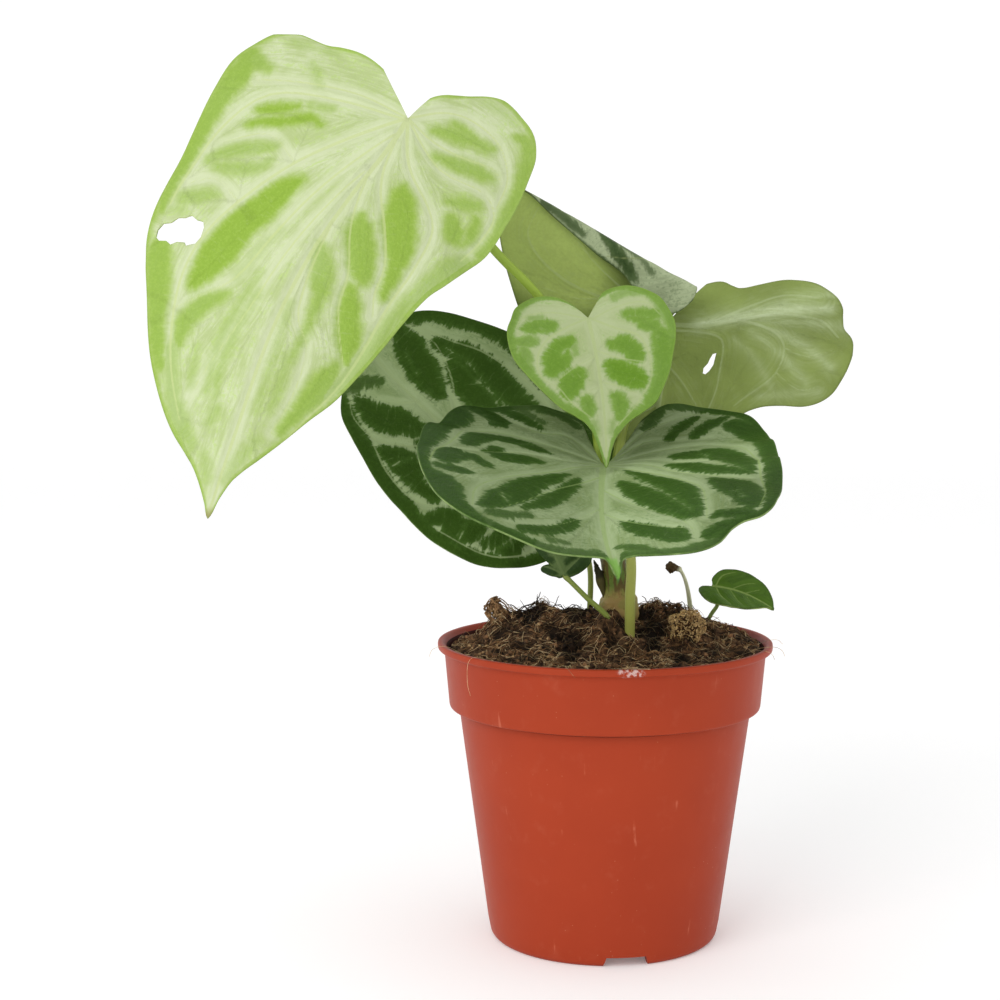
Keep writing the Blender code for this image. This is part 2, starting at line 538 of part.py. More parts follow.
def cut_hole(thing, blade, hole, cutters):
    """A torn hole: an uneven prism that stands across the blade."""
    _, middle, (half_width, half_length), turn, radii = hole
    origin = Vector(blade.place(np.array(middle[0]), np.array(middle[1])))
    _, forward, side, up = blade.frame(np.array(middle[1]))
    bm = bmesh.new()
    bmesh.ops.create_cone(bm, cap_ends=True, segments=len(radii), radius1=1.0, radius2=1.0, depth=16.0)
    spin = Matrix.Rotation(math.radians(turn), 3, "Z")
    axes = Matrix((Vector(side), Vector(forward), -Vector(up))).transposed()
    for corner in bm.verts:
        index = round(math.atan2(corner.co.y, corner.co.x) / math.tau * len(radii)) % len(radii)
        across = corner.co.x * half_width * radii[index]
        along = corner.co.y * half_length * radii[index]
        corner.co = (origin + axes @ (spin @ Vector((across, along, corner.co.z)))) * MM
    cut(thing, add_object(thing.name + "_hole", mesh_from(bm, thing.name + "_hole"), cutters))


def seated_end(stalk, blade):
    """Where a stalk ends: close under the blade's joint, whichever way it comes."""
    point, _, _, up = blade.frame(np.array(0.0))
    radius = stalk["radius"][1]
    droop = max(-math.sin(math.radians(lean)) for lean, _ in blade.leaf["sides"])
    under = RIB + GAP + radius * max(0.0, droop)
    end = point - up * under
    for _ in range(4):
        comes = unit(end - np.array(stalk["points"][-1], float))
        reach = radius * math.sqrt(max(0.0, 1 - float(comes @ up) ** 2))
        end = point - up * (under + reach)
    return end


def build_stalk(name, blade, parts):
    stalk = STALKS[name]
    points = list(stalk["points"]) + [tuple(seated_end(stalk, blade))]
    radii = np.interp(np.linspace(0, 1, len(points)), (0, 1), stalk["radius"])
    rows = [(*point, radius) for point, radius in zip(points, radii)]
    tube(name, rows, 4 * len(points) - 3, STALK_BEVEL, parts, "stalk")


def main():
    clear_scene()
    parts = new_collection("potted_anthurium")
    cutters = new_collection("cutters")
    build_pot(parts, cutters)
    build_soil(parts, cutters)
    tube("main_stem", STEM, 15, STEM_BEVEL, parts, "stem")
    tube("withered_sprout", SPROUT, 22, STALK_BEVEL, parts, "sprout")
    tube("dry_sheath", SHEATH, 7, STALK_BEVEL, parts, "sheath")
    leaves = {name: build_leaf(name, parts) for name in LEAVES}
    for hole in HOLES:
        cut_hole(*leaves[hole[0]], hole, cutters)
    for name, stalk in STALKS.items():
        build_stalk(name, leaves[stalk["leaf"]][1], parts)
    plant = bpy.data.objects.new("plant", None)
    parts.objects.link(plant)
    for thing in list(parts.objects) + list(cutters.objects):
        if thing is not plant:
            thing.parent = plant
    plant.location = (PLANT_SHIFT[0] * MM, PLANT_SHIFT[1] * MM, 0.0)


main()
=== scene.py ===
"""Dresses the potted anthurium: waved blades with silver veins, stalks with swollen joints, a fibrous
peat surface and a moulded nursery pot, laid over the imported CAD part.

Shapes are worked out in millimetres from the pot's axis at its foot, as the part's own source has them,
and written to each mesh in metres with the plant's place added."""

import math
import random

import bmesh
import bpy
import numpy as np
from mathutils import Matrix, Vector, noise


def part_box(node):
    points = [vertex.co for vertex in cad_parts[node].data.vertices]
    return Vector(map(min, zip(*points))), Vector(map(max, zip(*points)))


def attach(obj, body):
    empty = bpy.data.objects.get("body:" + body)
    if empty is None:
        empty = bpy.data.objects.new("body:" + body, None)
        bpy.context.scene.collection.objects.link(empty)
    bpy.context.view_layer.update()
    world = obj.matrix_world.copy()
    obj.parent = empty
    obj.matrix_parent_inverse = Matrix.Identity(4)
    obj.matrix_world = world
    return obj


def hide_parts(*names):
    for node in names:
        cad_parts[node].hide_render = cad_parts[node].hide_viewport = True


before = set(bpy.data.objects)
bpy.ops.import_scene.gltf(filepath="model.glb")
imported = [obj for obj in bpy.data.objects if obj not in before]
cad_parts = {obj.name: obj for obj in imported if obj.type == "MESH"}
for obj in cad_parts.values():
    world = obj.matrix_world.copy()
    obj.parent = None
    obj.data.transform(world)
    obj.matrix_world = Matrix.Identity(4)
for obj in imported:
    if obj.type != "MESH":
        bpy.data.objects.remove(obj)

bl_info = {
    "name": "Potted Anthurium",
    "version": (1, 0, 0),
    "blender": (4, 5, 0),
    "location": "View3D > Sidebar > Anthurium",
    "description": "Builds the leaves, stalks, peat and pot of a silver-veined anthurium",
    "category": "Object",
}

MM = 0.001
# Where the pot's axis stands in the part's frame, in millimetres
PLANT_SHIFT = (31.0, 29.0)
# Points closer than this, in metres, become one
MERGE = 1e-6

POT_HEIGHT = 107.2
LIP_RADIUS = 60.0
LIP_HEIGHT = 2.6
BAND_TOP_RADIUS = 57.6
BAND_BOTTOM_RADIUS = 55.8
BAND_BOTTOM_Z = 83.6
NECK_RADIUS = 52.3
BASE_RADIUS = 41.9
FOOT_RADIUS = 39.7
FOOT_WIDTH = 3.2
FOOT_HEIGHT = 3.6
FOOT_CORNER_Z = 6.5
WALL = 1.2
FLOOR = 1.6
# The pot's corners are rounded in steps, except where its wall is nearly straight
CORNER_RADIUS, CORNER_STEPS, NEARLY_STRAIGHT = 0.8, 3, math.radians(172)
SHARP_EDGE = math.radians(32)
FOOT_GAPS, FIRST_FOOT_GAP, GAP_LENGTH = 3, math.radians(-81.7), 14.0
GAP_TOP_WIDTH, GAP_BOTTOM_WIDTH = 14.0, 17.0
DRAIN_HOLES, DRAIN_RADIUS, DRAIN_CIRCLE = 6, 4.0, 24.0
# The chalky mark on the lip, in metres, with heights stretched
SMEAR_PLACE, SMEAR_STRETCH = (0.0365, -0.0300, 0.2338), 2.2

SOIL_EDGE_Z = 102.5
MOUND_HEIGHT = 14.0
MOUND_MIDDLE = (2.0, 12.0)
MOUND_REACH = (48.0, 25.0)
SOIL_SLOPE = -0.06
SOIL_EDGE = 55.0
SOIL_RINGS, SOIL_SIDES = 76, 260
# The gap between the peat and the pot's wall
SOIL_GAP = 0.4
# Crumbs and fibres start within this radius
STREWN_RADIUS = 54.5
# Each clod in the mound: x, y, radius, height
CLODS = (
    (47, 2, 9, 2.2), (50, -14, 8, 1.5), (31, 13, 7.5, 1.6), (-37, 12, 7, 3.5),
    (-22, 21, 9, 2.8), (19, 18, 7.5, 3), (2, -4, 8, 6),
)

# Main stem, bottom to top: x, y, z, radius
STEM = (
    (5.4, 4, 104.2, 5.4),
    (5.4, 4, 111, 6),
    (5.4, 4, 116, 7),
    (5.2, 3.9, 121, 6.9),
    (4.6, 3.6, 126, 5),
    (3.2, 3.2, 135, 4.5),
    (2, 3.2, 143, 4.6),
    (1.4, 3.4, 150, 5.1),
)

# Each stalk: its radius at the foot and at the leaf, and the points it passes. It ends just inside the
# joint of the leaf that it shares its name with.
STALKS = {
    "stalk_top": dict(
        radius=(1.9, 1.5), points=(
            (-1.3, 5.2, 150.5), (-1.3, 5.4, 160), (-3.5, 7.5, 186), (-11, 10, 210),
            (-23.5, 9, 229.5), (-41, 2, 247.8), (-58, -4, 270.5))),
    "stalk_small": dict(
        radius=(1.2, 0.9), points=(
            (0.5, 0.4, 150.5), (0.5, 0.6, 160), (-0.5, 2.6, 180), (-4, 3.5, 205))),
    "stalk_back": dict(
        radius=(1.9, 1.6), points=(
            (3.8, 4.6, 150.5), (3.8, 4.8, 160), (5.6, 7.5, 178), (13.5, 16, 203))),
    "stalk_front": dict(
        radius=(1.9, 1.6), points=(
            (8.4, -9, 101), (8.4, -9.2, 110), (8.3, -11.5, 124), (8.3, -13.2, 139),
            (5, -15, 158))),
    "stalk_left": dict(
        radius=(1.1, 0.9), points=(
            (-4.6, 16, 106), (-4.6, 16, 115), (-5.2, 16.6, 134), (-14, 20.5, 151))),
    "stalk_low": dict(
        radius=(1.1, 0.9), points=(
            (1.6, -5.4, 103), (1.6, -5.4, 108), (1.5, -5.3, 115.2), (-6.6, -5, 123))),
    "stalk_seedling": dict(
        radius=(0.8, 0.7), points=(
            (38.4, 22, 101), (38.4, 22, 108.2), (40.6, 22, 112.8), (43, 21.2, 117.4))),
}

# Each stalk's colours: foot, middle, top and joint. The others are plain.
STALK_TONES = {
    "stalk_top": ((132, 154, 56), (146, 171, 63), (156, 182, 74), (178, 196, 106)),
    "stalk_small": ((130, 142, 66), (142, 158, 78), (156, 170, 92), (170, 184, 108)),
    "stalk_front": ((150, 150, 72), (168, 174, 86), (176, 184, 96), (180, 190, 108)),
    "stalk_seedling": ((150, 150, 90), (150, 168, 92), (140, 164, 80), (140, 160, 84)),
}
PLAIN_STALK = ((126, 134, 60), (136, 150, 68), (140, 156, 74), (150, 164, 88))

# Withered sprout: a pale stalk whose brown tip is curled over. x, y, z, radius
SPROUT = (
    (33.6, 26, 100.2, 0.9),
    (33.6, 26, 110, 1),
    (32.9, 26.6, 118, 0.85),
    (31.7, 27, 124, 0.7),
    (29.9, 26.6, 128.2, 0.65),
    (27.8, 26, 129.8, 1.2),
    (25.9, 25.6, 129.8, 1.9),
    (24.6, 25.4, 128.8, 1.3),
)

# Dry sheath left standing at the main stem's side. x, y, z, radius
SHEATH = (
    (0.1, 1.6, 121.9, 0.5),
    (-0.6, 1.6, 125, 1.1),
    (-1.5, 1.6, 128, 1.6),
    (-2, 1.6, 130.7, 1.4),
    (-3, 1.6, 133.3, 0.8),
    (-3.9, 1.6, 135.8, 0.2),
)

# The thickness at the midrib
RIB = 2.0
# The blade's edge is drawn in by this share, so that it stays inside the part's box
EDGE_SHARE = 0.997
# Each leaf: its midrib's joint, bend and tip, the way it faces, the lean and curl of its left and right
# side, the curl of its lobes, its ripple's height and waves, and its reach, as (angle, distance) from the
# joint. A crease turns over what lies beyond a line, by an angle about a radius.
LEAVES = {
    "leaf_top": dict(
        attach=(-69, -18, 290.2), bend=(-117.5, -52, 242.8), tip=(-133.2, -58, 156.6),
        face=(-0.15, -1, 0.35), sides=((-6, 0), (-22, -10)), ripple=(0.9, 9),
        reach=((-118, 24), (-112, 32.5), (-104, 41), (-100, 46.5), (-96, 58.2), (-92, 62.2), (-84, 66.8),
               (-68, 69.8), (-60, 71.8), (-52, 76), (-44, 83), (-36, 92.5), (-24, 106), (-16, 119.5),
               (-8, 134.5), (-5.5, 138.5), (-3.3, 143), (-1.8, 148), (-0.8, 152.5), (0, 157), (1, 150),
               (2, 144.3), (3.3, 140), (5.1, 135.5), (8, 128.5), (12, 119), (16, 111), (20, 101.5),
               (26, 88.5), (32, 78), (40, 68.6), (48, 63.5), (58, 58.5), (72, 54.5), (90, 50),
               (108, 47.5), (124, 48), (132, 47), (140, 43.5), (148, 39.8), (153, 36), (156, 31.5),
               (159, 25.5), (163, 21), (169, 17.3), (175, 15), (181, 12))),
    "leaf_left": dict(
        attach=(-34.7, 19, 163.8), bend=(-62.7, 25, 194.1), tip=(-93.4, 45, 218.8),
        face=(0, -1, 0.6), sides=((6, 0), (6, 0)), ripple=(0.7, 11),
        reach=((-166, 33), (-150, 37), (-135, 39), (-118, 41), (-100, 43), (-84, 46), (-68, 50),
               (-52, 54), (-45, 56.5), (-39, 59), (-31.4, 63.3), (-25, 68.4), (-20, 72.4), (-16, 75),
               (-10, 76.5), (-5, 78), (-2, 80.5), (0, 84.2), (2, 80), (6, 76), (12, 73), (20, 69),
               (27, 65.3), (33.4, 59.9), (42, 53.8), (52, 48.8), (63, 44.3), (76, 41), (90, 38.5),
               (106, 36.8), (122, 35.5), (144, 34.3), (163, 34))),
    "leaf_small": dict(
        attach=(-6.8, -8, 222.4), bend=(-2.9, -20, 200.9), tip=(-1.5, -32, 172.8),
        face=(0, -1, 0.15), sides=((4, -6), (4, -6)), ripple=(0.4, 8),
        reach=((-142, 8.2), (-134, 13.8), (-124, 19.3), (-117, 22.5), (-109, 25.5), (-97, 27.3),
               (-90, 28.7), (-78, 29.9), (-65, 31), (-51, 31.6), (-40, 33), (-30, 34.8), (-20, 37.3),
               (-13, 38.8), (-7, 41.8), (-4.4, 45), (-3, 48), (-1.6, 52), (0, 57), (1.2, 54), (2.3, 51),
               (4.2, 47.6), (7.8, 44.4), (12.4, 42), (20, 40.5), (29, 39.4), (36, 37.3), (46, 34.8),
               (56, 32.6), (67, 31.4), (77, 30.3), (86, 28.2), (96, 26), (106, 23), (117, 20.2),
               (124, 17.8), (132, 14.6), (142, 10.5))),
    "leaf_front": dict(
        attach=(-1.4, -16, 171.4), bend=(-6, -80, 163.7), tip=(-2.6, -118, 145.6),
        face=(0, -0.3, 1), sides=((12, 0), (8, 0)), lobe_curl=60, ripple=(1, 12),
        reach=((-166, 40), (-159, 45), (-151, 47.5), (-143, 49.5), (-132, 55), (-117, 60.5), (-98, 61),
               (-84, 64), (-70, 68), (-60, 73), (-45, 83), (-37, 90), (-29, 95), (-21, 97), (-13, 97.2),
               (-5, 95.4), (-2.6, 95.4), (-1.6, 96), (-1, 98.2), (-0.6, 101.2), (-0.3, 105),
               (0, 108.5), (0.5, 105), (0.9, 101.2), (1.3, 98.2), (1.9, 96.9), (3, 96.6), (6, 97.8),
               (10, 99), (15, 99.2), (20, 97.2), (24, 93), (27, 92), (30, 93.5), (33, 92.5), (38.7, 87),
               (43.3, 82.2), (49.2, 76.4), (56, 71), (63, 66.4), (71.5, 62.8), (80.5, 60.7), (90, 59.6),
               (99.6, 59.6), (110.8, 61.5), (119, 62.2), (126, 61.5), (135, 59.5), (143, 56.8),
               (151, 53.5), (157, 49.5), (162, 42))),
    "leaf_back": dict(
        attach=(23.6, 33, 219.7), bend=(23.8, 47, 187.3), tip=(15.2, 29, 141.7),
        face=(0, 1, 0.1), sides=((5, 0), (5, 0)), ripple=(1.3, 13),
        reach=((-134, 22), (-127, 27.5), (-120, 29.5), (-115.5, 31), (-112.5, 34.5), (-110.5, 40),
               (-109, 46), (-106.4, 52), (-103.4, 57.6), (-100, 61.9), (-97, 65.2), (-94, 66.8),
               (-90, 67.2), (-87, 68.4), (-85, 71.5), (-82.2, 73), (-78.5, 72.8), (-74.6, 71.4),
               (-70, 69), (-66.3, 65.3), (-63.4, 61.3), (-60, 55.3), (-56, 50.4), (-50, 46.5), (-43, 45),
               (-36, 47), (-28, 52.5), (-15, 63), (-6, 71), (-2, 76), (0, 80), (2, 76), (8, 70), (20, 62),
               (39, 56), (55, 54), (70, 53), (84, 53), (96, 55), (103, 58.5), (109, 62.5), (115, 67),
               (121, 72), (126, 76), (131, 77), (136, 73), (142, 64), (150, 53), (160, 44.5), (170, 39.5),
               (180, 38), (190, 38), (200, 37), (208, 33), (215, 26)),
        creases=(
            dict(after=95, line=(-12.6, -12.2), towards=(-0.496, -0.868), radius=2.2, angle=172, side=-1),
            dict(before=-30, line=(0, 3), towards=(0.10, -0.995), radius=12, angle=74, side=1))),
    "leaf_low": dict(
        attach=(-15.2, -6, 131.7), bend=(-18.3, -8.2, 137.8), tip=(-21.3, -9.4, 143.9),
        face=(0, -1, 0.3), sides=((0, 20), (0, 10)), ripple=(0.2, 7),
        reach=((-166, 1.8), (-132, 4.3), (-111, 7.9), (-96, 11.1), (-82, 13), (-60, 14), (-30, 15),
               (-10, 15.6), (0, 16), (10, 15.5), (17, 15.1), (20, 13.5), (22, 11), (23.5, 7.6),
               (25, 6.6), (29, 7), (34, 7.7), (40, 8.3), (47, 8.5), (52, 7.9), (57, 6.6), (66, 4.8),
               (78, 3.2), (100, 2.2), (144, 1.4))),
    "leaf_seedling": dict(
        attach=(40.8, 18, 124.1), bend=(52.5, 18, 123.3), tip=(62.8, 14, 115.8),
        face=(0.2, -1, 1.2), sides=((8, 0), (8, 0)), ripple=(0.2, 5),
        reach=((-178, 4), (-167, 5.2), (-156, 6), (-143, 6.5), (-130, 7.1), (-103, 8.8), (-79, 10.4),
               (-65, 11.6), (-52, 13), (-36, 15.3), (-23, 17.7), (-11, 20), (-5, 21.2), (-2, 22.2),
               (0, 24.3), (2, 23.6), (6, 22.6), (13, 20.8), (19, 19.4), (26, 17.7), (32, 16.1),
               (40, 14.4), (49, 12.4), (59, 10.3), (69, 8.3), (79, 5.8), (101, 2.6))),
}

# Torn holes, as outlines in the blade: (across, along the midrib)
HOLES = {
    "leaf_top": (
        (-51.2, 73), (-50.6, 75.3), (-49, 76), (-46.5, 75.2), (-44.5, 75.8), (-42.8, 74.3),
        (-40.2, 73.6), (-39.2, 74.4), (-36.6, 72.6), (-35.9, 70.2), (-36.4, 67), (-37.6, 65.3),
        (-40, 65.6), (-42.6, 64.9), (-44.4, 66.4), (-46.6, 67.2), (-48, 69.4), (-50.4, 70.6)),
    "leaf_back": (
        (-20, 10.8), (-18.6, 11.2), (-17.6, 13), (-17, 14.6), (-15.4, 16.4), (-15.3, 18.2),
        (-16.4, 18.6), (-17.8, 17.4), (-19.2, 15.2), (-19.6, 12.8)),
}

# The green islands between the veins: how green (1 is fully), then (across, along, half width) rows
ISLANDS = {
    "leaf_top": (
        (0.9, (-64, 9, 2.5), (-61, 18, 4.3), (-60.5, 28, 3.8), (-59, 38, 3.2), (-57.5, 48, 2.8),
         (-56, 58, 2.2), (-54, 66, 1.4)),
        (0.8, (-65, 9, 1.2), (-60, 11, 2.6), (-54, 11, 1.4)),
        (1, (-45.5, 24.5, 1), (-40, 21.5, 1.9), (-34.5, 17.5, 1)),
        (1, (-44.5, 30, 1.1), (-40, 26.5, 1.9), (-33, 22.5, 2.2), (-27, 18.5, 1.5), (-22.5, 19, 0.7)),
        (0.6, (-31, 15, 0.9), (-23.5, 12, 0.9)),
        (0.65, (-49, 46, 1.4), (-44, 41, 2.5), (-38, 37.5, 2.4), (-31, 33, 1.2)),
        (0.6, (-46, 47.5, 1.1), (-38, 45.5, 2), (-31, 42, 1.6), (-29, 38, 0.8)),
        (0.6, (-50, 61, 1.6), (-45, 59, 2.4), (-39, 56, 1.3)),
        (0.5, (-51, 65.5, 1), (-47, 64.5, 1.2)),
        (1, (-15, 40, 1.5), (-18, 45, 3.8), (-21, 54, 5.2), (-24.5, 62, 5.5), (-26.5, 70, 6.3),
         (-28.5, 78, 4.8), (-30.3, 84, 2.2)),
        (0.85, (-27, 103.5, 1.6), (-27.5, 97, 3.2), (-24, 90, 3), (-17.5, 84.5, 1.3)),
        (0.9, (-47.5, 79, 4.2), (-44, 86, 4), (-41, 92, 3.8), (-38, 99, 3), (-35, 105, 2.5),
         (-31, 112, 2)),
        (0.6, (-29, 106, 2.4), (-26, 114, 2), (-23, 121, 2.6), (-18.5, 127.5, 3), (-12, 134, 2.2)),
        (0.45, (-9.5, 75, 0.7), (-12, 90, 1.4), (-13, 103, 1.4), (-11, 116, 1.2)),
        (0.55, (-7, 80, 0.6), (-9, 95, 1.2), (-9.5, 108, 1.3), (-8, 117, 0.7)),
        (0.4, (-11, 58, 0.5), (-14, 68, 1), (-17, 78, 0.9)),
        (0.5, (-7, 125, 1.6), (-6, 121, 1.4)),
        (0.45, (-20, 104, 0.5), (-18, 116, 0.9)),
        (0.5, (-43, 1.5, 0.5), (-38, 4, 0.9), (-34, 7, 0.4)),
        (0.35, (-55, -2, 1.4), (-48, -4, 1.2), (-40, -7, 1)),
        (0.8, (9, -3.5, 1), (13, -7.5, 2.1), (17, -9.5, 2.4), (20, -12, 1.6)),
        (0.8, (12.5, -11.8, 1), (18, -13, 1.2), (24, -13.5, 1.7), (27.5, -16, 0.8)),
        (0.8, (16, 3, 1.2), (22, -1, 2.2), (28, -5, 2.6), (34, -8.5, 1.4)),
        (0.75, (30, 12, 1.5), (34, 8, 2.4), (38, 4, 1.9)),
        (0.85, (35, 17, 2.7), (39, 21.5, 3.8), (43, 16, 2.2), (41, 9, 1.4)),
        (0.95, (15.5, 21.5, 1.5), (18, 25, 4), (20.5, 30, 5.2), (23, 35, 5.8), (26.5, 40, 5),
         (28.7, 46, 3.2), (30, 52, 2.2), (30.7, 61, 1.3)),
        (0.9, (10.5, 40, 1.3), (13, 45, 4.3), (16.5, 50, 4.8), (20, 56, 4), (22.5, 60, 1.7)),
        (0.75, (5, 57, 1.2), (8, 62, 3), (10.5, 68, 3.3), (12.5, 74, 1.8), (13.2, 88, 0.7), (12, 98, 0.6)),
        (0.95, (20.5, 65, 1.6), (22.5, 70, 3.1), (24.5, 76, 3.6), (27, 82, 3.8), (28.5, 88, 2),
         (30, 91, 0.8)),
        (0.85, (27, 93, 1.3), (25, 100, 3.3), (23.5, 107, 3.6), (20, 115, 2.4), (17, 122, 1.8)),
        (0.8, (30, -26, 1.2), (34, -27.5, 2.3), (38, -24, 2.4), (41, -18, 2.4), (44, -12, 2.2),
         (46.5, -5, 2.2), (48.5, 3, 1.8), (50, 12, 1.5), (49.5, 20, 1.5)),
        (0.6, (47.5, 26, 1.8), (45.5, 34, 3.4), (43.5, 44, 3.6), (41, 54, 3.2), (38, 66, 2.6),
         (36.5, 78, 2.6), (34.5, 88, 2.8), (31, 98, 2.3), (27.5, 106, 1.6)),
        (0.5, (10.5, 97, 0.7), (12, 108, 1.2), (11.5, 116, 0.7)),
        (0.4, (4.5, 80, 0.6), (7, 100, 0.9), (7, 118, 0.8)),
        (0.45, (10, 128, 1.4), (6, 136, 1.6), (3, 143, 1)),
        (0.4, (-6, 136, 1.2), (-3, 144, 0.9)),
        (0.35, (15, -27, 1.5), (22, -29.5, 1.6), (27, -29, 1)),
    ),
    "leaf_small": (
        (0.9, (-23, 1, 1.1), (-19, 1, 2.4), (-14, 1.5, 2.2), (-12.3, 1.5, 1.2)),
        (0.6, (-20, -2.6, 0.7), (-16.5, -2.6, 0.7)),
        (0.8, (-26, 6, 1.3), (-22, 6.5, 2.1), (-19.5, 6.5, 1)),
        (0.75, (-24.5, 11, 2.2), (-25, 16, 3), (-22.5, 23, 2.6), (-18.5, 29.5, 2), (-14, 34, 1.4)),
        (0.7, (-23, -8, 0.8), (-26.3, -4, 1.3), (-28, 2, 1.2), (-28.6, 9, 1.1)),
        (0.95, (-8, 8, 1.9), (-12, 11, 3.4), (-13.5, 15.5, 4.4), (-15.5, 19.5, 2.6)),
        (0.6, (-7, 11, 0.9), (-6.6, 13.5, 0.8)),
        (0.95, (-6.5, 21, 2), (-9, 24, 4), (-10.5, 27.5, 2.9)),
        (0.9, (-5, 32, 2.2), (-4, 36, 1.6)),
        (0.55, (-3.5, 40, 0.8), (-2.6, 44, 0.6)),
        (0.6, (10.5, -6, 1.2), (15, -7.2, 1.4), (20, -6, 1.2)),
        (0.75, (22, -5, 1), (25.5, 0, 1.5), (27.6, 6, 1.4), (27.5, 11, 1.7)),
        (0.9, (13.5, 1.5, 1.3), (18, 3, 2.2), (23.5, 3, 1.4)),
        (0.9, (18, 6.5, 1.2), (22, 7.6, 1.9)),
        (0.95, (7, 12, 1.8), (11, 12.8, 3.3), (14, 17, 2.8)),
        (1, (4.5, 19.5, 1.9), (8, 22, 3.7), (12, 25, 4), (14.5, 27, 2.2)),
        (0.9, (6, 31.5, 2.2), (6.5, 35, 2.4), (6, 39, 1.2)),
        (0.9, (24, 12, 3.5), (23.5, 19, 3.6), (22, 25, 3), (19, 31, 2.4), (15.5, 35.5, 1.8)),
        (0.5, (3.2, 41, 0.7), (2.6, 45, 0.6)),
    ),
    "leaf_left": (
        (1, (10, -31, 1.8), (14, -29.5, 2), (21, -26, 2.8), (28, -19, 3.1), (33.5, -10, 3), (36.5, 0, 2.9),
         (38, 10, 3.1), (37.3, 20, 3), (36.2, 30, 3), (33.5, 40, 3), (30.5, 50, 2.5), (26.5, 59, 2)),
        (1, (13, -21, 1.5), (18, -21, 2.5), (22, -18, 1)),
        (1, (14.5, -14, 1.3), (20, -14.5, 2.5), (24.5, -13, 1.2)),
        (1, (22, -7.5, 1.5), (26, -5, 4.2), (29.5, -2, 4.2), (28, 3, 4), (33, 6, 2.4)),
        (1, (26.5, 12, 2), (27.8, 20, 3), (26, 27, 4.8), (27, 33, 3.6), (29, 37.5, 0.9)),
        (1, (12, 35, 2.2), (15, 41, 4.6), (19, 47, 5.2), (20.5, 54, 3.3), (20, 59, 1.4)),
        (0.9, (10, 60, 1.4), (14, 62.5, 2.2), (18, 63.5, 1.4)),
        (1, (-3, 41, 2.2), (-4.5, 47, 4.5), (-6.5, 55, 5.7), (-9, 63, 4.8), (-11, 70, 2.4)),
        (1, (-24.5, 12, 1.6), (-23, 22, 3.8), (-22.5, 33, 4.8), (-21.5, 43, 4.3), (-18.5, 52, 2.8),
         (-17, 57.5, 1.2)),
        (1, (-15.5, 24, 2.4), (-12.5, 32, 4.4), (-13.5, 40, 3.6), (-15.5, 46, 1.8)),
        (1, (-36, 18, 3.5), (-37.5, 30, 3.8), (-37, 41, 3.4), (-33.5, 50, 3.4), (-29.5, 58, 3.3),
         (-25, 65, 3.2), (-20, 70.5, 3), (-13, 74.5, 1.6)),
        (1, (6, 8, 1), (10, 16, 3.2), (14, 25, 3), (16, 30, 1.4)),
        (1, (-5, 10, 1), (-8, 18, 2.6), (-6, 28, 1.6)),
        (1, (12, 4, 1.5), (18, 10, 2.6), (20, 18, 2.2)),
        (1, (-12, 6, 1.2), (-16, 12, 2.2), (-17, 18, 1.4)),
        (1, (-14, -6, 1.4), (-22, -2, 3), (-28, 5, 2)),
        (1, (-10, -16, 1.6), (-17, -14, 2.8), (-25, -10, 2.6)),
        (1, (-9, -30, 2), (-18, -27, 2.6), (-26, -22, 2.8), (-32, -14, 2.8), (-36, -4, 3), (-37.5, 8, 3)),
    ),
    "leaf_front": (
        (0.9, (-25, -37, 1.3), (-19, -38, 2.3), (-13, -36, 1.8), (-10, -32, 1)),
        (1, (-40, -35.5, 1.1), (-34, -32, 2.2), (-28, -28, 1.7), (-24, -25, 0.9)),
        (0.8, (-32, -36, 0.8), (-26, -31, 1), (-23, -29, 0.6)),
        (1, (-49, -28, 3), (-44, -27, 4.5), (-40, -24, 4.3), (-38.5, -20, 2.8), (-41, -17, 1.2)),
        (1, (-53.5, -24, 3), (-53, -17, 4.6), (-55.5, -10, 4), (-57, -2, 3.8), (-58.3, 8, 3.4),
         (-60, 18, 3.2), (-60.8, 28, 2.6), (-61, 38, 2.3), (-60, 48, 2), (-57.5, 54, 2.4), (-53, 60, 4.8),
         (-51, 68, 4.3), (-48, 75, 3), (-44, 80.5, 1.8)),
        (1, (-47, 15, 2.8), (-45.5, 8, 3.8), (-42, 1, 4.5), (-36, -2, 5), (-30, -2, 5.3), (-24, 2, 3.3),
         (-20.5, 3.5, 1.3)),
        (1, (-37.5, 14, 2.6), (-37, 21, 4.6), (-32, 23, 6), (-26.5, 20, 4), (-22.5, 20, 2)),
        (1, (-51, 27, 2.3), (-52, 34, 4.6), (-52.5, 41, 3.3), (-46, 33, 2.9), (-41, 36, 2),
         (-38, 38.5, 1)),
        (1, (-55, 48, 1.7), (-50, 48, 2.2), (-45, 48, 1.2)),
        (1, (-12.5, 28, 0.8), (-16, 34, 2.6), (-19.5, 40, 3.6), (-25.5, 50, 5), (-29.5, 60, 5.5),
         (-33.5, 66, 5.2), (-37.5, 72, 3.4), (-40, 76, 1)),
        (1, (-8.5, 30, 0.7), (-11, 40, 2.3), (-13.3, 48, 2.9), (-17, 57, 3.1), (-21, 64, 2.7),
         (-26.5, 70.5, 1.2)),
        (0.9, (-37.5, 79.3, 1.5), (-31, 78.5, 1.7), (-25, 75, 0.9)),
        (1, (-28, 86, 2), (-22, 83.5, 2.5), (-16, 80, 2.7), (-12, 74.5, 2.3), (-10, 70.5, 0.9)),
        (0.8, (-20, 88.5, 0.7), (-14, 88.5, 0.9)),
        (0.9, (15, -33, 1.8), (17.5, -39, 2.4), (21, -44, 1.5), (30, -44.5, 1)),
        (1, (23, -21, 1.3), (25.5, -28, 2.1), (30, -35, 1.9), (33.5, -37.5, 0.8)),
        (1, (32, -22, 1.6), (35, -27, 2.9), (39.5, -31.5, 3), (43.5, -34.5, 1.5)),
        (1, (47, -26.5, 4.4), (52, -22, 5.4), (54.5, -14, 4.9), (57, -4, 4), (57.7, 8, 3.7),
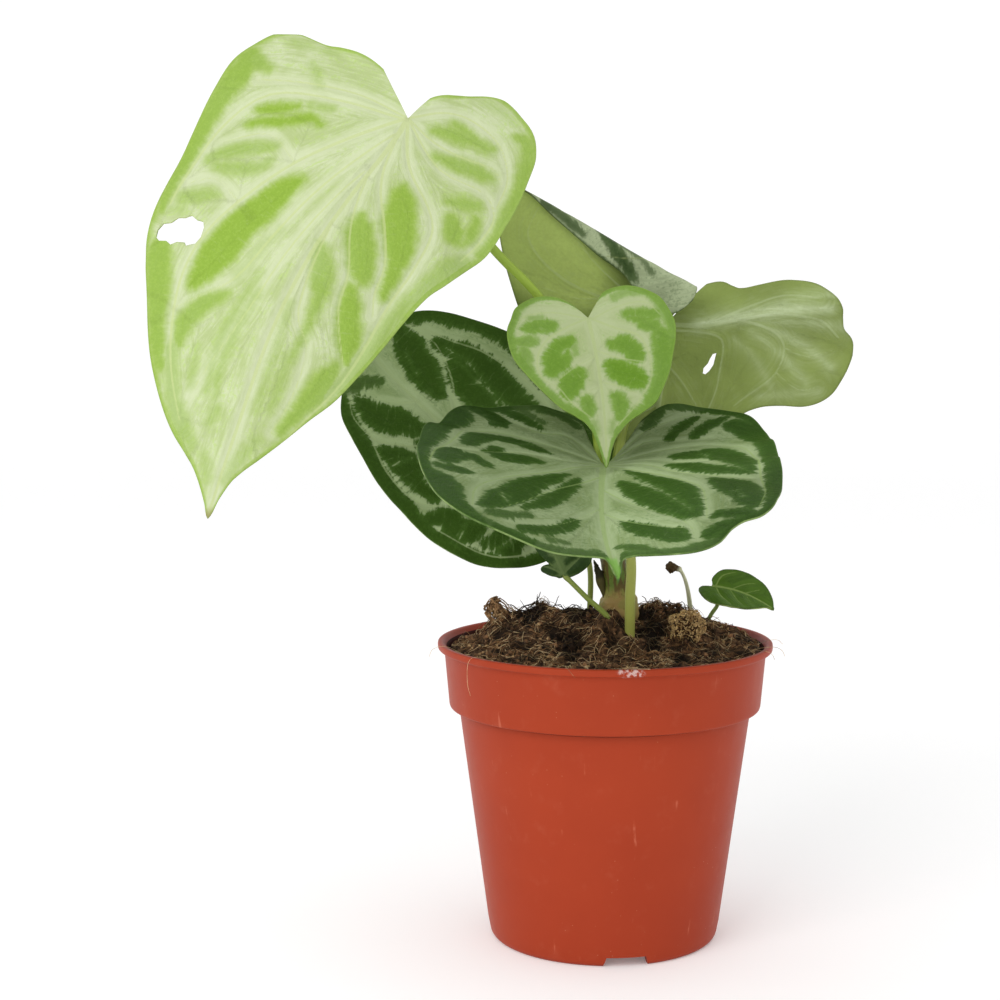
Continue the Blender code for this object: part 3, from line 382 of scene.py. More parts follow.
         (57.7, 20, 3.6), (57.3, 32, 3.5), (56.6, 44, 3.6), (55.5, 55, 3.6), (54, 65, 3.4),
         (51.5, 74, 2.6)),
        (1, (25, 0, 2.3), (30, 1, 5.3), (33, 5, 2.8)),
        (1, (36.5, -1, 4.3), (41, 6, 5.8), (44, 14, 5.8), (46.5, 22, 4.4), (48.5, 30, 2.2), (49, 36, 0.9)),
        (1, (23, 14, 1.3), (28, 18, 3.7), (33, 23, 3.7), (38.5, 28, 3.4), (44, 32.5, 2.3), (48, 36, 0.8)),
        (1, (8, 15, 0.7), (11.5, 22, 1.8), (15.5, 30, 3.3), (20.5, 38, 4.6), (24, 46, 5.2), (26, 55, 4.6),
         (27.3, 63, 3.2), (28, 71, 1.6)),
        (1, (6, 30, 1), (8.5, 37, 3), (11.8, 45, 4.6), (16, 54, 5), (21, 63, 4.4), (25.5, 70.5, 2.2)),
        (1, (36, 40, 1.8), (39, 45, 4.6), (43, 52, 6.3), (45, 60, 5.3), (45.5, 67, 4.3),
         (45.5, 71.5, 2.2)),
        (1, (6, 72, 1.6), (10, 78, 4.3), (15, 82, 4.8), (20, 86, 3.7), (22, 80, 1.8)),
        (0.9, (3, 90, 1.1), (8, 92.5, 1.9), (13, 95, 1.3)),
        (1, (35, 74, 2.3), (40, 75.7, 2.6), (45, 78, 1.6)),
        (1, (30, 87, 2.3), (34, 83, 2.6), (40, 80.3, 1.4)),
        (0.9, (21, 96, 0.9), (26, 93.3, 1.9), (31, 90.5, 1.3)),
    ),
    "leaf_back": (
        (1, (4, -36, 1.9), (12, -36, 2.3), (20, -36.2, 2.2), (26, -37, 1)),
        (0.8, (2, -28.8, 0.9), (10, -29.5, 1.4), (17, -32, 1.7), (23, -35, 1.1)),
        (1, (12, -20, 1.9), (15, -24, 2.7), (18, -28, 2.1), (20.5, -31.5, 1.2)),
        (0.9, (27, -43.5, 1.1), (36, -46.5, 1.7), (44, -50, 1.3)),
        (1, (25, -29, 1), (31, -35.5, 1.3), (38, -38.5, 2.1), (45, -43, 1.9), (51, -49, 1.8)),
        (0.5, (34, -42.3, 0.6), (42, -45.5, 0.9), (49, -49.5, 0.8)),
        (1, (24, -18, 1.4), (34, -20, 3.4), (44, -27, 3)),
        (1, (20, -6, 1.2), (32, -6, 4.4), (43, -8, 3.4)),
        (1, (17, 8, 1.6), (28, 13, 5), (38, 22, 4)),
        (1, (10, 20, 1.6), (15, 32, 5), (22, 44, 4)),
        (1, (5, 48, 1.4), (8, 58, 2.6), (9, 64, 1.4)),
        (1, (54, -46, 3.2), (55, -30, 3.4), (53, -10, 3.2), (49, 10, 3.4), (42, 28, 3.4), (31, 44, 3),
         (18, 58, 2.6), (9, 67, 1.4)),
        (1, (-17, 8, 1.6), (-28, 13, 4.6), (-38, 18, 3)),
        (1, (-10, 20, 1.6), (-16, 32, 4.6), (-20, 42, 2.6)),
        (1, (-5, 48, 1.4), (-8, 58, 2.6), (-9, 64, 1.4)),
        (1, (-24, -6, 1.4), (-36, -8, 3.6), (-48, -10, 2.4)),
        (1, (-46, 8, 2), (-56, 8, 4), (-62, 12, 2)),
        (1, (-64, -4, 2.6), (-69, 10, 3.2), (-62, 23, 3.2), (-48, 27, 2.6), (-34, 38, 3), (-22, 52, 3),
         (-10, 66, 1.6)),
    ),
    "leaf_low": (
        (1, (2.4, 2, 0.9), (4.6, 4.4, 1.3), (6.2, 6, 1.1)),
        (1, (-2.4, -0.6, 1), (-6, -0.6, 1.8), (-9.6, 0.8, 1.8)),
        (1, (-3, 3.2, 0.8), (-6.5, 4, 1.3), (-10.5, 5, 1.3)),
        (1, (1.2, 6.5, 0.6), (2.8, 9, 1), (3.6, 12, 0.9)),
    ),
    "leaf_seedling": (),
}

# Hair veins that cross the islands: (across, along, half width) rows
THREADS = {
    "leaf_front": (
        ((35, 3, 0.5), (36.5, 12, 0.6), (43, 25, 0.5), (47.5, 32, 0.4)),
        ((10, 22, 0.5), (14, 35, 0.6), (19.5, 48, 0.6), (23.5, 58, 0.5), (27, 67, 0.4)),
        ((-34, 62, 0.4), (-31, 70, 0.5), (-24, 63, 0.3)),
        ((-35, 6, 0.4), (-30, 1, 0.3), (-27, -6, 0.3)),
        ((42, 57, 0.25), (44, 64, 0.25)),
    ),
    "leaf_left": (
        ((-16, 22, 0.5), (-18.6, 33, 0.6), (-19.5, 44, 0.4), (-18, 52, 0.3)),
        ((8, 47, 0.8), (13, 52, 0.8), (19, 60, 0.5)),
        ((20, 27, 0.3), (27, 30, 0.4), (33, 31, 0.3)),
        ((25, -3, 0.25), (33, -7, 0.25)),
        ((-6, 62, 0.2), (-3, 52, 0.2)),
    ),
    "leaf_top": (
        ((-46, 27.3, 0.5), (-36, 22.5, 0.5), (-30, 17.5, 0.5)),
        ((36, 10, 0.6), (40, 15, 0.5), (42, 21, 0.4)),
    ),
    "leaf_small": (((-5, 8.7, 0.3), (-11, 13, 0.2)), ((14, 2.2, 0.2), (22, 4.6, 0.25))),
}

# The veins that stand in the blade: (across, along, half width) rows
VEINS = {
    "leaf_top": (
        ((0, 0, 1.1), (2, 8, 0.9), (3.3, 20, 0.8), (3.6, 40, 0.7), (3.2, 60, 0.7), (3, 90, 0.6),
         (3, 120, 0.6), (1.5, 142, 0.5), (0, 155, 0.5)),
        ((0, 0, 0.8), (-12, 20, 0.7), (-21, 35, 0.6), (-29, 52, 0.6), (-35, 68, 0.5), (-36, 82, 0.5),
         (-33, 96, 0.5), (-27, 112, 0.4), (-18, 128, 0.3)),
        ((0, 1, 0.6), (-25, 8, 0.5), (-46, 18, 0.5), (-53, 36, 0.5), (-53, 55, 0.5), (-52, 64, 0.4)),
        ((0, 0, 0.5), (-20, 2, 0.4), (-40, 9, 0.4), (-54, 16, 0.4)),
        ((1, 8, 0.5), (-8, 42, 0.5), (-12, 60, 0.5), (-17, 78, 0.5), (-27, 88, 0.4), (-35, 95, 0.3)),
        ((2, 26, 0.4), (-4, 60, 0.4), (-8, 88, 0.4), (-16, 115, 0.3), (-18, 126, 0.3)),
        ((0, 0, 0.7), (12, 13, 0.6), (26, 20, 0.5), (33, 28, 0.5), (35, 45, 0.5), (34, 62, 0.5),
         (33, 85, 0.5), (29, 104, 0.4), (18, 127, 0.3)),
        ((1, 4, 0.5), (8, 24, 0.5), (19, 38, 0.5), (26, 50, 0.4), (28, 62, 0.4), (31, 70, 0.4)),
        ((3, 24, 0.5), (9, 44, 0.4), (17, 60, 0.4), (20, 74, 0.4), (29, 92, 0.3)),
        ((3.5, 46, 0.4), (8, 80, 0.4), (16, 92, 0.3), (17, 110, 0.3), (14, 124, 0.3)),
        ((0, 0, 0.5), (12, -1, 0.4), (22, -5, 0.4), (32, -11, 0.4), (38, -10, 0.3)),
        ((0, 0, 0.5), (20, 5, 0.4), (36, -2, 0.4), (45, 2, 0.4), (47, 14, 0.4), (46, 28, 0.3)),
        ((0, 0, 0.5), (7, -12, 0.4), (16, -18, 0.4), (28, -19, 0.4), (38, -13, 0.4), (43, -2, 0.3)),
        ((-21, 35, 0.4), (-36, 30, 0.3), (-50, 40, 0.3)),
        ((-30, 55, 0.4), (-42, 51, 0.3), (-51, 56, 0.3)),
    ),
    "leaf_small": (
        ((0, 0, 0.8), (0.5, 14, 0.6), (0.8, 30, 0.5), (0.6, 44, 0.4), (0, 56, 0.3)),
        ((0, 0, 0.5), (-9, 3, 0.4), (-16, 7, 0.4), (-20, 14, 0.4), (-19.3, 22, 0.3), (-14, 26, 0.3),
         (-10, 32, 0.3), (-4, 38, 0.3)),
        ((0, 15, 0.3), (-8, 19, 0.3), (-15, 24, 0.3)),
        ((0, 27, 0.3), (-6, 29, 0.3), (-9, 32, 0.2)),
        ((0, 0, 0.5), (9, 6, 0.4), (16, 10, 0.4), (18.5, 17, 0.4), (18.5, 25, 0.3), (15, 31, 0.3),
         (11, 36, 0.3), (5, 42, 0.3)),
        ((0.5, 13, 0.3), (8, 17, 0.3), (17, 20, 0.3)),
        ((0.5, 25, 0.3), (8, 28, 0.3), (13, 31, 0.2)),
        ((-1, 0, 0.4), (-12, -4, 0.3), (-22, -4, 0.3), (-26, 1, 0.2)),
        ((1, 1, 0.4), (10, -2, 0.3), (20, -2, 0.3), (25, 4, 0.2)),
    ),
    "leaf_left": (
        ((0, 0, 1), (3, 20, 0.8), (4.5, 40, 0.7), (4, 62, 0.6), (0, 84, 0.4)),
        ((0, 4, 0.6), (10, 24, 0.5), (20, 33, 0.4), (27, 42, 0.4), (27, 54, 0.3), (22, 62, 0.3)),
        ((0, 0, 0.5), (18, 1, 0.4), (27, 8, 0.4), (33, 16, 0.4), (33, 30, 0.4), (29, 42, 0.3)),
        ((0, 0, 0.5), (10, -24, 0.4), (21, -22, 0.4), (29, -12, 0.3), (34, 2, 0.3)),
        ((0, 0, 0.5), (-20, 2, 0.4), (-30, 12, 0.4), (-29.5, 28, 0.4), (-26.5, 42, 0.4), (-21, 54, 0.3),
         (-16, 70, 0.3)),
        ((2, 22, 0.5), (-5, 34, 0.4), (-11, 42, 0.4), (-16.5, 56, 0.3), (-15, 70, 0.3)),
        ((4, 44, 0.4), (10, 48, 0.3), (20, 61, 0.3)),
    ),
    "leaf_front": (
        ((0, 0, 1.2), (-0.5, 25, 1), (-1, 50, 0.9), (-1.4, 75, 0.8), (-1, 92, 0.7), (0, 105, 0.5)),
        ((0, 2, 0.6), (10, 13, 0.5), (22, 29, 0.5), (31, 45, 0.4), (32, 60, 0.4), (31, 74, 0.3)),
        ((0, 1, 0.6), (14, 7, 0.5), (24, 22, 0.4), (38, 34, 0.4), (50, 42, 0.3)),
        ((0, 0, 0.5), (16, 0, 0.4), (26, 9, 0.3), (36, 13, 0.3)),
        ((0, 0, 0.6), (18, -11, 0.5), (38, -13, 0.4), (49, 0, 0.4), (52, 18, 0.4), (51.5, 40, 0.4),
         (51, 60, 0.3), (47, 75, 0.3)),
        ((0, -1, 0.5), (14, -22, 0.4), (27, -20, 0.3), (38, -20, 0.3)),
        ((0, -1, 0.4), (12, -28, 0.3), (22, -36, 0.3), (34, -41, 0.3), (46, -36, 0.2)),
        ((-1, 34, 0.4), (7, 52, 0.3), (16, 64, 0.3), (25, 76, 0.3), (26, 88, 0.2)),
        ((-1, 60, 0.4), (5, 69, 0.3), (13, 75, 0.3), (24, 79, 0.2)),
        ((0, 2, 0.6), (-10, 14, 0.5), (-18, 28, 0.5), (-34, 46, 0.4), (-42, 60, 0.4), (-43, 76, 0.3)),
        ((0, 1, 0.6), (-14, 8, 0.5), (-28, 10, 0.4), (-43, 22, 0.4), (-57, 26, 0.3)),
        ((0, 0, 0.6), (-16, -8, 0.5), (-36, -12, 0.5), (-49, -6, 0.4), (-52, 10, 0.4), (-56.5, 30, 0.4),
         (-58, 46, 0.3)),
        ((0, -1, 0.5), (-12, -22, 0.4), (-24, -22, 0.4), (-34, -26, 0.3), (-42, -34, 0.3)),
        ((-1, 20, 0.5), (-8, 34, 0.4), (-17, 48, 0.4), (-25, 62, 0.3), (-34, 74, 0.3)),
        ((-1, 56, 0.4), (-7, 66, 0.3), (-16, 76, 0.3), (-32, 83, 0.3)),
    ),
    "leaf_back": (
        ((0, 0, 1.2), (0, 20, 1), (0.5, 40, 0.8), (0, 60, 0.6), (0, 78, 0.4)),
        ((0, 0, 1), (-15, 0.5, 0.9), (-30, -1.5, 0.7), (-44, -2.5, 0.6), (-58, 0, 0.5), (-66, 6, 0.4)),
        ((-15, 0.5, 0.6), (-30, -5, 0.5), (-44, -9, 0.4), (-58, -8, 0.3)),
        ((0, 2, 0.6), (-12, 3, 0.5), (-21.5, 6, 0.5), (-21.8, 16, 0.4), (-20, 27, 0.4), (-14, 42, 0.3)),
        ((-26, -1.5, 0.6), (-40, 3, 0.5), (-45.5, 9, 0.5), (-43, 17, 0.4), (-36, 23, 0.4), (-28, 29, 0.3)),
        ((-45.5, 9, 0.4), (-55, 12, 0.3), (-64, 10, 0.3)),
        ((-43, 17, 0.3), (-52, 22, 0.3), (-60, 21, 0.2)),
        ((0, 0, 0.8), (18, -8, 0.6), (36, -16, 0.6), (47, -26, 0.5), (51, -36, 0.4), (46, -47, 0.3)),
        ((0, 0, 0.7), (16, -14, 0.5), (28, -26, 0.4), (36, -38, 0.4), (38, -46, 0.3)),
        ((0, 0, 0.7), (4, -18, 0.5), (10, -32, 0.4), (16, -40, 0.3)),
        ((0, 3, 0.6), (20, 2, 0.5), (40, -2, 0.4), (50, 4, 0.4), (46, 22, 0.4), (34, 40, 0.3),
         (16, 60, 0.3)),
        ((0, 14, 0.5), (14, 18, 0.4), (30, 28, 0.3)),
        ((0, 30, 0.5), (10, 38, 0.4), (20, 52, 0.3)),
        ((0, 14, 0.5), (-8, 22, 0.4), (-20, 38, 0.3)),
        ((20, -10, 0.5), (34, -10, 0.4), (46, -14, 0.3)),
    ),
    "leaf_low": (
        ((0, 0, 0.5), (-0.3, 8, 0.4), (0, 14, 0.3)),
        ((0, 0, 0.4), (3.2, 4.8, 0.4), (5.6, 6.6, 0.2)),
        ((0, 0, 0.4), (-5, 1.4, 0.3), (-10.5, 3.2, 0.2)),
    ),
    "leaf_seedling": (
        ((0, 0, 0.55), (0, 12, 0.4), (0, 23, 0.25)),
        ((0, 1, 0.3), (-5, 3, 0.25), (-9, 8, 0.15)),
        ((0, 6, 0.25), (-5, 10, 0.2), (-7, 14, 0.12)),
        ((0, 1, 0.3), (5, 3, 0.25), (8, 7, 0.15)),
        ((0, 7, 0.25), (4, 11, 0.2), (6, 14, 0.12)),
        ((0, 12, 0.2), (-4, 16, 0.15)),
        ((0, 12, 0.2), (4, 16, 0.15)),
    ),
}

# Painted light: pale bands on a blade's underside, where it catches the light: how pale, then (across,
# along, half width) rows
LIT_BANDS = {
    "leaf_back": (
        (0.5, (-10, 0.2, 0.1), (-24, -2.2, 0.3), (-38, -5.5, 0.5), (-52, -8.5, 0.5), (-63, -9, 0.3)),
        (1, (-12, 0.2, 0.2), (-26, -1.8, 0.7), (-40, -3.6, 1.2), (-50, -4.2, 1.1), (-62, -4.2, 0.3)),
        (0.5, (-14, 0.4, 0.1), (-28, -0.2, 0.3), (-42, 0.2, 0.6), (-56, 1, 0.7), (-68, 3, 0.4)),
        (0.55, (-34, 0.8, 0.1), (-44, 4.5, 0.6), (-55, 9.5, 0.6), (-64, 15, 0.2)),
        (0.45, (-32, 3, 0.1), (-40, 8, 0.5), (-48, 14, 0.6), (-55, 20, 0.3)),
        (0.3, (-26, 6, 0.1), (-33, 11, 0.3), (-39, 18, 0.5), (-43, 24, 0.3)),
        (0.35, (-60, 22.5, 0.3), (-50, 23.5, 0.8), (-38, 25, 0.3)),
    ),
}

# Where a blade catches the light: (across, along, half width) rows
GLOWS = {
    "leaf_front": (((8, 10, 16), (14, 50, 24), (12, 88, 22)), ((20, 20, 14), (44, 16, 28), (60, -2, 24))),
    "leaf_back": (((26, -8, 8), (38, -20, 22), (50, -36, 24)), ((8, -20, 4), (20, -34, 14), (40, -50, 20))),
}

# In millimetres: farther than any band lies, how far the pattern is moved on for each next band, how the
# painted pale bands of light fade, and how deep inside its bands a blade fully catches the light
FAR, BAND_OFFSET, LIT_BAND_FADE, GLOW_DEPTH = 99.0, 41.0, 1.8, 12.0
# Past this many millimetres no island counts, and the green there has this strength
ISLAND_REACH, PLAIN_STRENGTH = 9.0, 0.6
# How far a blade keeps inside the part's box, and how far a torn hole's cuts reach
BOX_GAP, CUT_REACH = 0.3, 0.02

# Each blade's mesh: steps from joint to edge, and steps round the edge
GRIDS = {
    "leaf_top": (120, 380), "leaf_left": (84, 300), "leaf_small": (72, 260), "leaf_front": (118, 380),
    "leaf_back": (90, 340), "leaf_low": (26, 90), "leaf_seedling": (34, 110),
}

# Each blade's colours, as they look: silver and its brightest part, islands and their middle, margin,
# veins, underside, and some have a tip of their own, past a share of the length, or an underside that is
# lit. gloss is its roughness, sheen its mirror part, relief how deep its veins lie, shade how much of the
# light it gives back, and shine how much more where it catches the light. In millimetres: how far the
# islands spread, the band of the margin, how soft the shores are and how ragged and spiky.
LOOKS = {
    "leaf_top": dict(
        silver=(194, 212, 146), bright=(223, 234, 190), green=(166, 198, 86), deep=(154, 190, 70),
        margin=(176, 204, 108), vein=(214, 228, 158), under=(170, 190, 120), gloss=0.44, relief=0.35,
        shade=0.70, spread=0.9, band=2.6, ragged=0.6, soft=2.0, spiky=3.0, sheen=0.08,
        tip=(168, 158, 108), tip_at=0.965),
    "leaf_left": dict(
        silver=(130, 149, 100), bright=(158, 174, 130), green=(64, 91, 36), deep=(52, 77, 25),
        margin=(62, 88, 34), vein=(156, 172, 124), under=(96, 112, 62), gloss=0.40, relief=0.40,
        shade=1.12, spread=0.9, band=3.4, ragged=0.9, soft=0.7, spiky=6.0, sheen=0.03),
    "leaf_small": dict(
        silver=(172, 188, 130), bright=(188, 201, 152), green=(121, 160, 57), deep=(108, 149, 42),
        margin=(138, 171, 74), vein=(182, 198, 136), under=(140, 160, 95), gloss=0.42, relief=0.30,
        shade=0.72, spread=0.6, band=3.4, ragged=0.7, soft=1.1, spiky=4.0, sheen=0.08),
    "leaf_front": dict(
        silver=(118, 136, 88), bright=(148, 164, 122), green=(60, 88, 34), deep=(48, 75, 24),
        margin=(84, 112, 52), vein=(136, 158, 96), under=(104, 122, 66), gloss=0.40, relief=0.45,
        shade=0.88, spread=0.6, band=4.0, ragged=0.8, soft=0.7, spiky=6.0, sheen=0.03,
        shine=1.32, tip=(112, 158, 66), tip_at=0.885),
    "leaf_back": dict(
        silver=(150, 162, 126), bright=(172, 184, 146), green=(78, 96, 58), deep=(58, 78, 42),
        margin=(92, 104, 58), vein=(140, 152, 98), under=(133, 150, 79), lit=(183, 202, 113), gloss=0.50,
        relief=0.12, shade=0.90, spread=0.2, band=1.2, ragged=0.6, soft=0.7, spiky=6.0, sheen=0.06),
    "leaf_low": dict(
        silver=(98, 122, 66), bright=(112, 136, 80), green=(58, 84, 38), deep=(48, 74, 30),
        margin=(52, 80, 28), vein=(128, 150, 92), under=(80, 100, 52), gloss=0.34, relief=0.15,
        shade=0.8, spread=0.3, band=1.0, ragged=0.6, soft=0.8, spiky=3.0, sheen=0.12),
    "leaf_seedling": dict(
        silver=(68, 102, 22), bright=(94, 132, 38), green=(60, 92, 20), deep=(48, 80, 14),
        margin=(92, 120, 50), vein=(176, 200, 112), under=(96, 118, 66), gloss=0.32, relief=0.30,
        shade=0.74, spread=0.0, band=0.5, ragged=0.3, soft=0.5, spiky=3.0, sheen=0.14),
}

# Dark twigs in the peat: x, y, length, heading, pitch, thickness
TWIGS = (
    (-30, 16, 9, 150, 20, 0.34), (-27, 18, 10, 20, 26, 0.36), (-24, 20, 9, 100, 34, 0.30),
    (-22, 19, 11, 165, 14, 0.38), (-19, 21, 8, 40, 36, 0.30), (-16, 19, 9, -10, 18, 0.32),
    (-25, 15, 12, 190, 6, 0.40), (-13, 16, 9, 120, 22, 0.30), (-20, 14, 10, 10, 8, 0.34),
    (15, 14, 9, 40, 20, 0.32), (18, 17, 8, 130, 30, 0.30), (22, 18, 9, -15, 16, 0.32),
    (13, 6, 6, 60, 60, 0.80), (27, 4, 10, 195, 8, 0.40), (38, 8, 9, 30, 14, 0.32),
    (-8, -6, 12, 170, 4, 0.50), (10, -14, 11, 8, 6, 0.45), (-28, -10, 12, 200, 4, 0.40),
    (30, -16, 12, -12, 5, 0.40), (42, 2, 10, 70, 8, 0.36), (-46, -2, 10, 100, 8, 0.36),
    (-16, -26, 12, 20, 4, 0.45), (18, -34, 12, 160, 4, 0.42), (-34, -28, 10, 75, 6, 0.36),
)

# Wide patches of painted shade, as in hollows of the peat: x, y, width. They are drawn out from front to
# back.
HOLLOW_STRETCH = 0.4
SHADED_HOLLOWS = (
    (-12.6, -18, 7.5), (16.1, -8, 8), (-10.5, 18, 9), (24, -33.5, 5), (-27, 12, 7),
    (41.5, 20, 6),
)

# The colour of the painted shade in the hollows
SHADOW = (24, 18, 14)

# The loose bits' colours, dark and light, and how much painted shade darkens them in a hollow
SHADES = {
    "crumbs_dark": ((54, 40, 30), (156, 116, 82), 0.90),
    "crumbs_tan": ((146, 112, 76), (206, 172, 126), 0.90),
    "clod": ((166, 128, 78), (238, 204, 146), 0.3),
    # Painted shade: the clod's dark core shows in the gaps between its grains
    "clod_shade_core": ((54, 38, 24), (96, 70, 46), 0.2),
    "fibres_pale": ((186, 150, 106), (240, 214, 170), 0.80),
    "fibres_brown": ((110, 76, 50), (174, 132, 90), 0.80),
    "fibres_dark": ((40, 28, 22), (88, 60, 42), 0.80),
    "twig_bark": ((44, 31, 23), (104, 74, 50), 0.90),
    "old_root": ((78, 56, 38), (180, 140, 98), 0.5),
}

# Crumbs that lie anywhere: piece, share of the setting, sizes
CRUMBS = (("crumbs_dark", 0.72, (0.9, 3.0)), ("crumbs_tan", 0.22, (0.7, 2.2)))

# Crumbs in a heap: piece, shade, how many, sizes, the heap's middle, its reach
HEAPS = (
    # The clod's dark core is painted shade in the gaps between its grains
    ("clod_shade_core", "clod_shade_core", 14, (6.8, 8.2), (29, -8.4, 112.6), (1.5, 1.2, 1.5)),
    ("clod", "clod", 1150, (0.5, 1), (29, -9, 112.9), (5.6, 5, 5.8)),
    ("clod_low", "crumbs_dark", 260, (0.8, 1.9), (23.6, 9, 115), (5, 4, 3.6)),
    ("root_crumbs", "crumbs_tan", 120, (0.6, 1.5), (-38.5, 11.5, 115.8), (2.6, 2, 2.2)),
)

# Points along each fibre and twig
STRAND_STEPS = 7
# Fibres: piece, share of the setting, thickness
FIBRES = (("fibres_pale", 0.34, 0.11), ("fibres_brown", 0.42, 0.11), ("fibres_dark", 0.23, 0.17))
STRAY_THICKNESS = 0.065

# Where the fibres lie thickest: x, y, spread, how many
PATCHES = ((-38, 12, 4.5, 26), (-24, 19, 7, 30), (20, 15, 7, 26), (30, 9, 6, 14), (-10, -30, 18, 20))

# A cut bit of root beside the main stem: (x, y, z, radius) rows
STUB = ((12.8, 3, 109, 1), (13, 3.4, 113, 1), (13.6, 3.6, 117.6, 0.8), (13.8, 3.8, 118.6, 0.3))

# The frayed old root that stands up at the left: (x, y, z, radius) rows
OLD_ROOT = (
    ((-27, 9, 109.5, 1.2), (-31, 10, 112.5, 1.8), (-35.5, 11, 114.4, 2.2), (-38.6, 12, 116.8, 2.3),
     (-40.6, 12.2, 117.4, 2), (-41.6, 12, 115.4, 1.4)),
    ((-36, 10.5, 113.5, 1.2), (-38, 9.8, 116.9, 1.4), (-39.8, 10.4, 119.2, 1.2), (-38.4, 12.4, 120, 0.8)),
    ((-35, 10, 111.3, 0.8), (-38.6, 9.2, 111.6, 0.8), (-41, 9.5, 113.2, 0.6), (-42.8, 10, 115.4, 0.5)),
)

# Fibres that hang over the pot's lip: (x, y, z) rows
STRAYS = (
    ((47, -16, 104.5), (53, -19, 107.2), (58, -20.6, 108), (60.6, -21.6, 107), (61.6, -22.2, 105)),
    ((44, -22, 104.5), (50, -25.4, 107.4), (54.2, -27.4, 107.7), (56.4, -28.6, 106.6), (57, -29.2, 105)),
    ((50, -6, 104), (56, -7.5, 107.6), (60.6, -9, 108.6), (62.6, -10, 107.2)),
    ((-40, -34, 104.8), (-45.5, -38, 107.6), (-48.4, -40.6, 106), (-48.6, -41.4, 99), (-47.6, -41.8, 95)),
    ((-50, -14, 104), (-56.6, -17, 107.6), (-61, -19, 107), (-62.4, -20, 104.4)),
    ((-14, -50, 105), (-16, -56.4, 107.6), (-15, -60.4, 107.2), (-13, -61, 104.8)),
    ((2, -52, 105.4), (4, -57, 107.4), (7.5, -58.8, 107.4), (12, -58.4, 107.2)),
    ((9, -51, 105.4), (7, -56.6, 107.5), (3, -58.6, 107.4), (-1, -58, 107.2)),
    ((4, -50, 105.2), (8, -57, 107.7), (5.6, -60.2, 107.2), (6.4, -60.8, 105.8)),
)

# The camera, in metres; the lights, with the height over the middle that they are aimed at
CAMERA_PLACE, CAMERA_TILT = (-0.0066, -0.659, 0.2237), math.radians(84.51)
KEY_PLACE, KEY_AIM = (-0.8, -1.15, 0.95), 0.17
FILL_PLACE, FILL_AIM = (0.55, -1.25, 0.5), 0.15
LIGHT_SIZE = 1.0
SENSOR_WIDTH, CAMERA_RANGE = 36.0, (0.02, 20.0)
# The backdrop, in millimetres: a round floor and the curve that joins it to its wall
FLOOR_RADIUS, FLOOR_SIDES, COVE_RADIUS, COVE_STEPS = 2100.0, 96, 900.0, 12


def srgb(red, green, blue):
    """A colour as it looks on a screen, from 0 to 255, turned into light."""
    values = (value / 255 for value in (red, green, blue))
    light = [value / 12.92 if value <= 0.04045 else ((value + 0.055) / 1.055) ** 2.4 for value in values]
    return (*light, 1.0)


class Wire:
    """A socket of a material's nodes that can be reckoned with like a number."""

    def __init__(self, finish, socket):
        self.finish, self.socket = finish, socket

    def __add__(self, other):
        return self.finish.reckon("ADD", self, other)

    def __radd__(self, other):
        return self.finish.reckon("ADD", other, self)

    def __sub__(self, other):
        return self.finish.reckon("SUBTRACT", self, other)

    def __rsub__(self, other):
        return self.finish.reckon("SUBTRACT", other, self)

    def __mul__(self, other):
        return self.finish.reckon("MULTIPLY", self, other)

    def __rmul__(self, other):
        return self.finish.reckon("MULTIPLY", other, self)

    def __truediv__(self, other):
        return self.finish.reckon("DIVIDE", self, other)

    def __rtruediv__(self, other):
        return self.finish.reckon("DIVIDE", other, self)


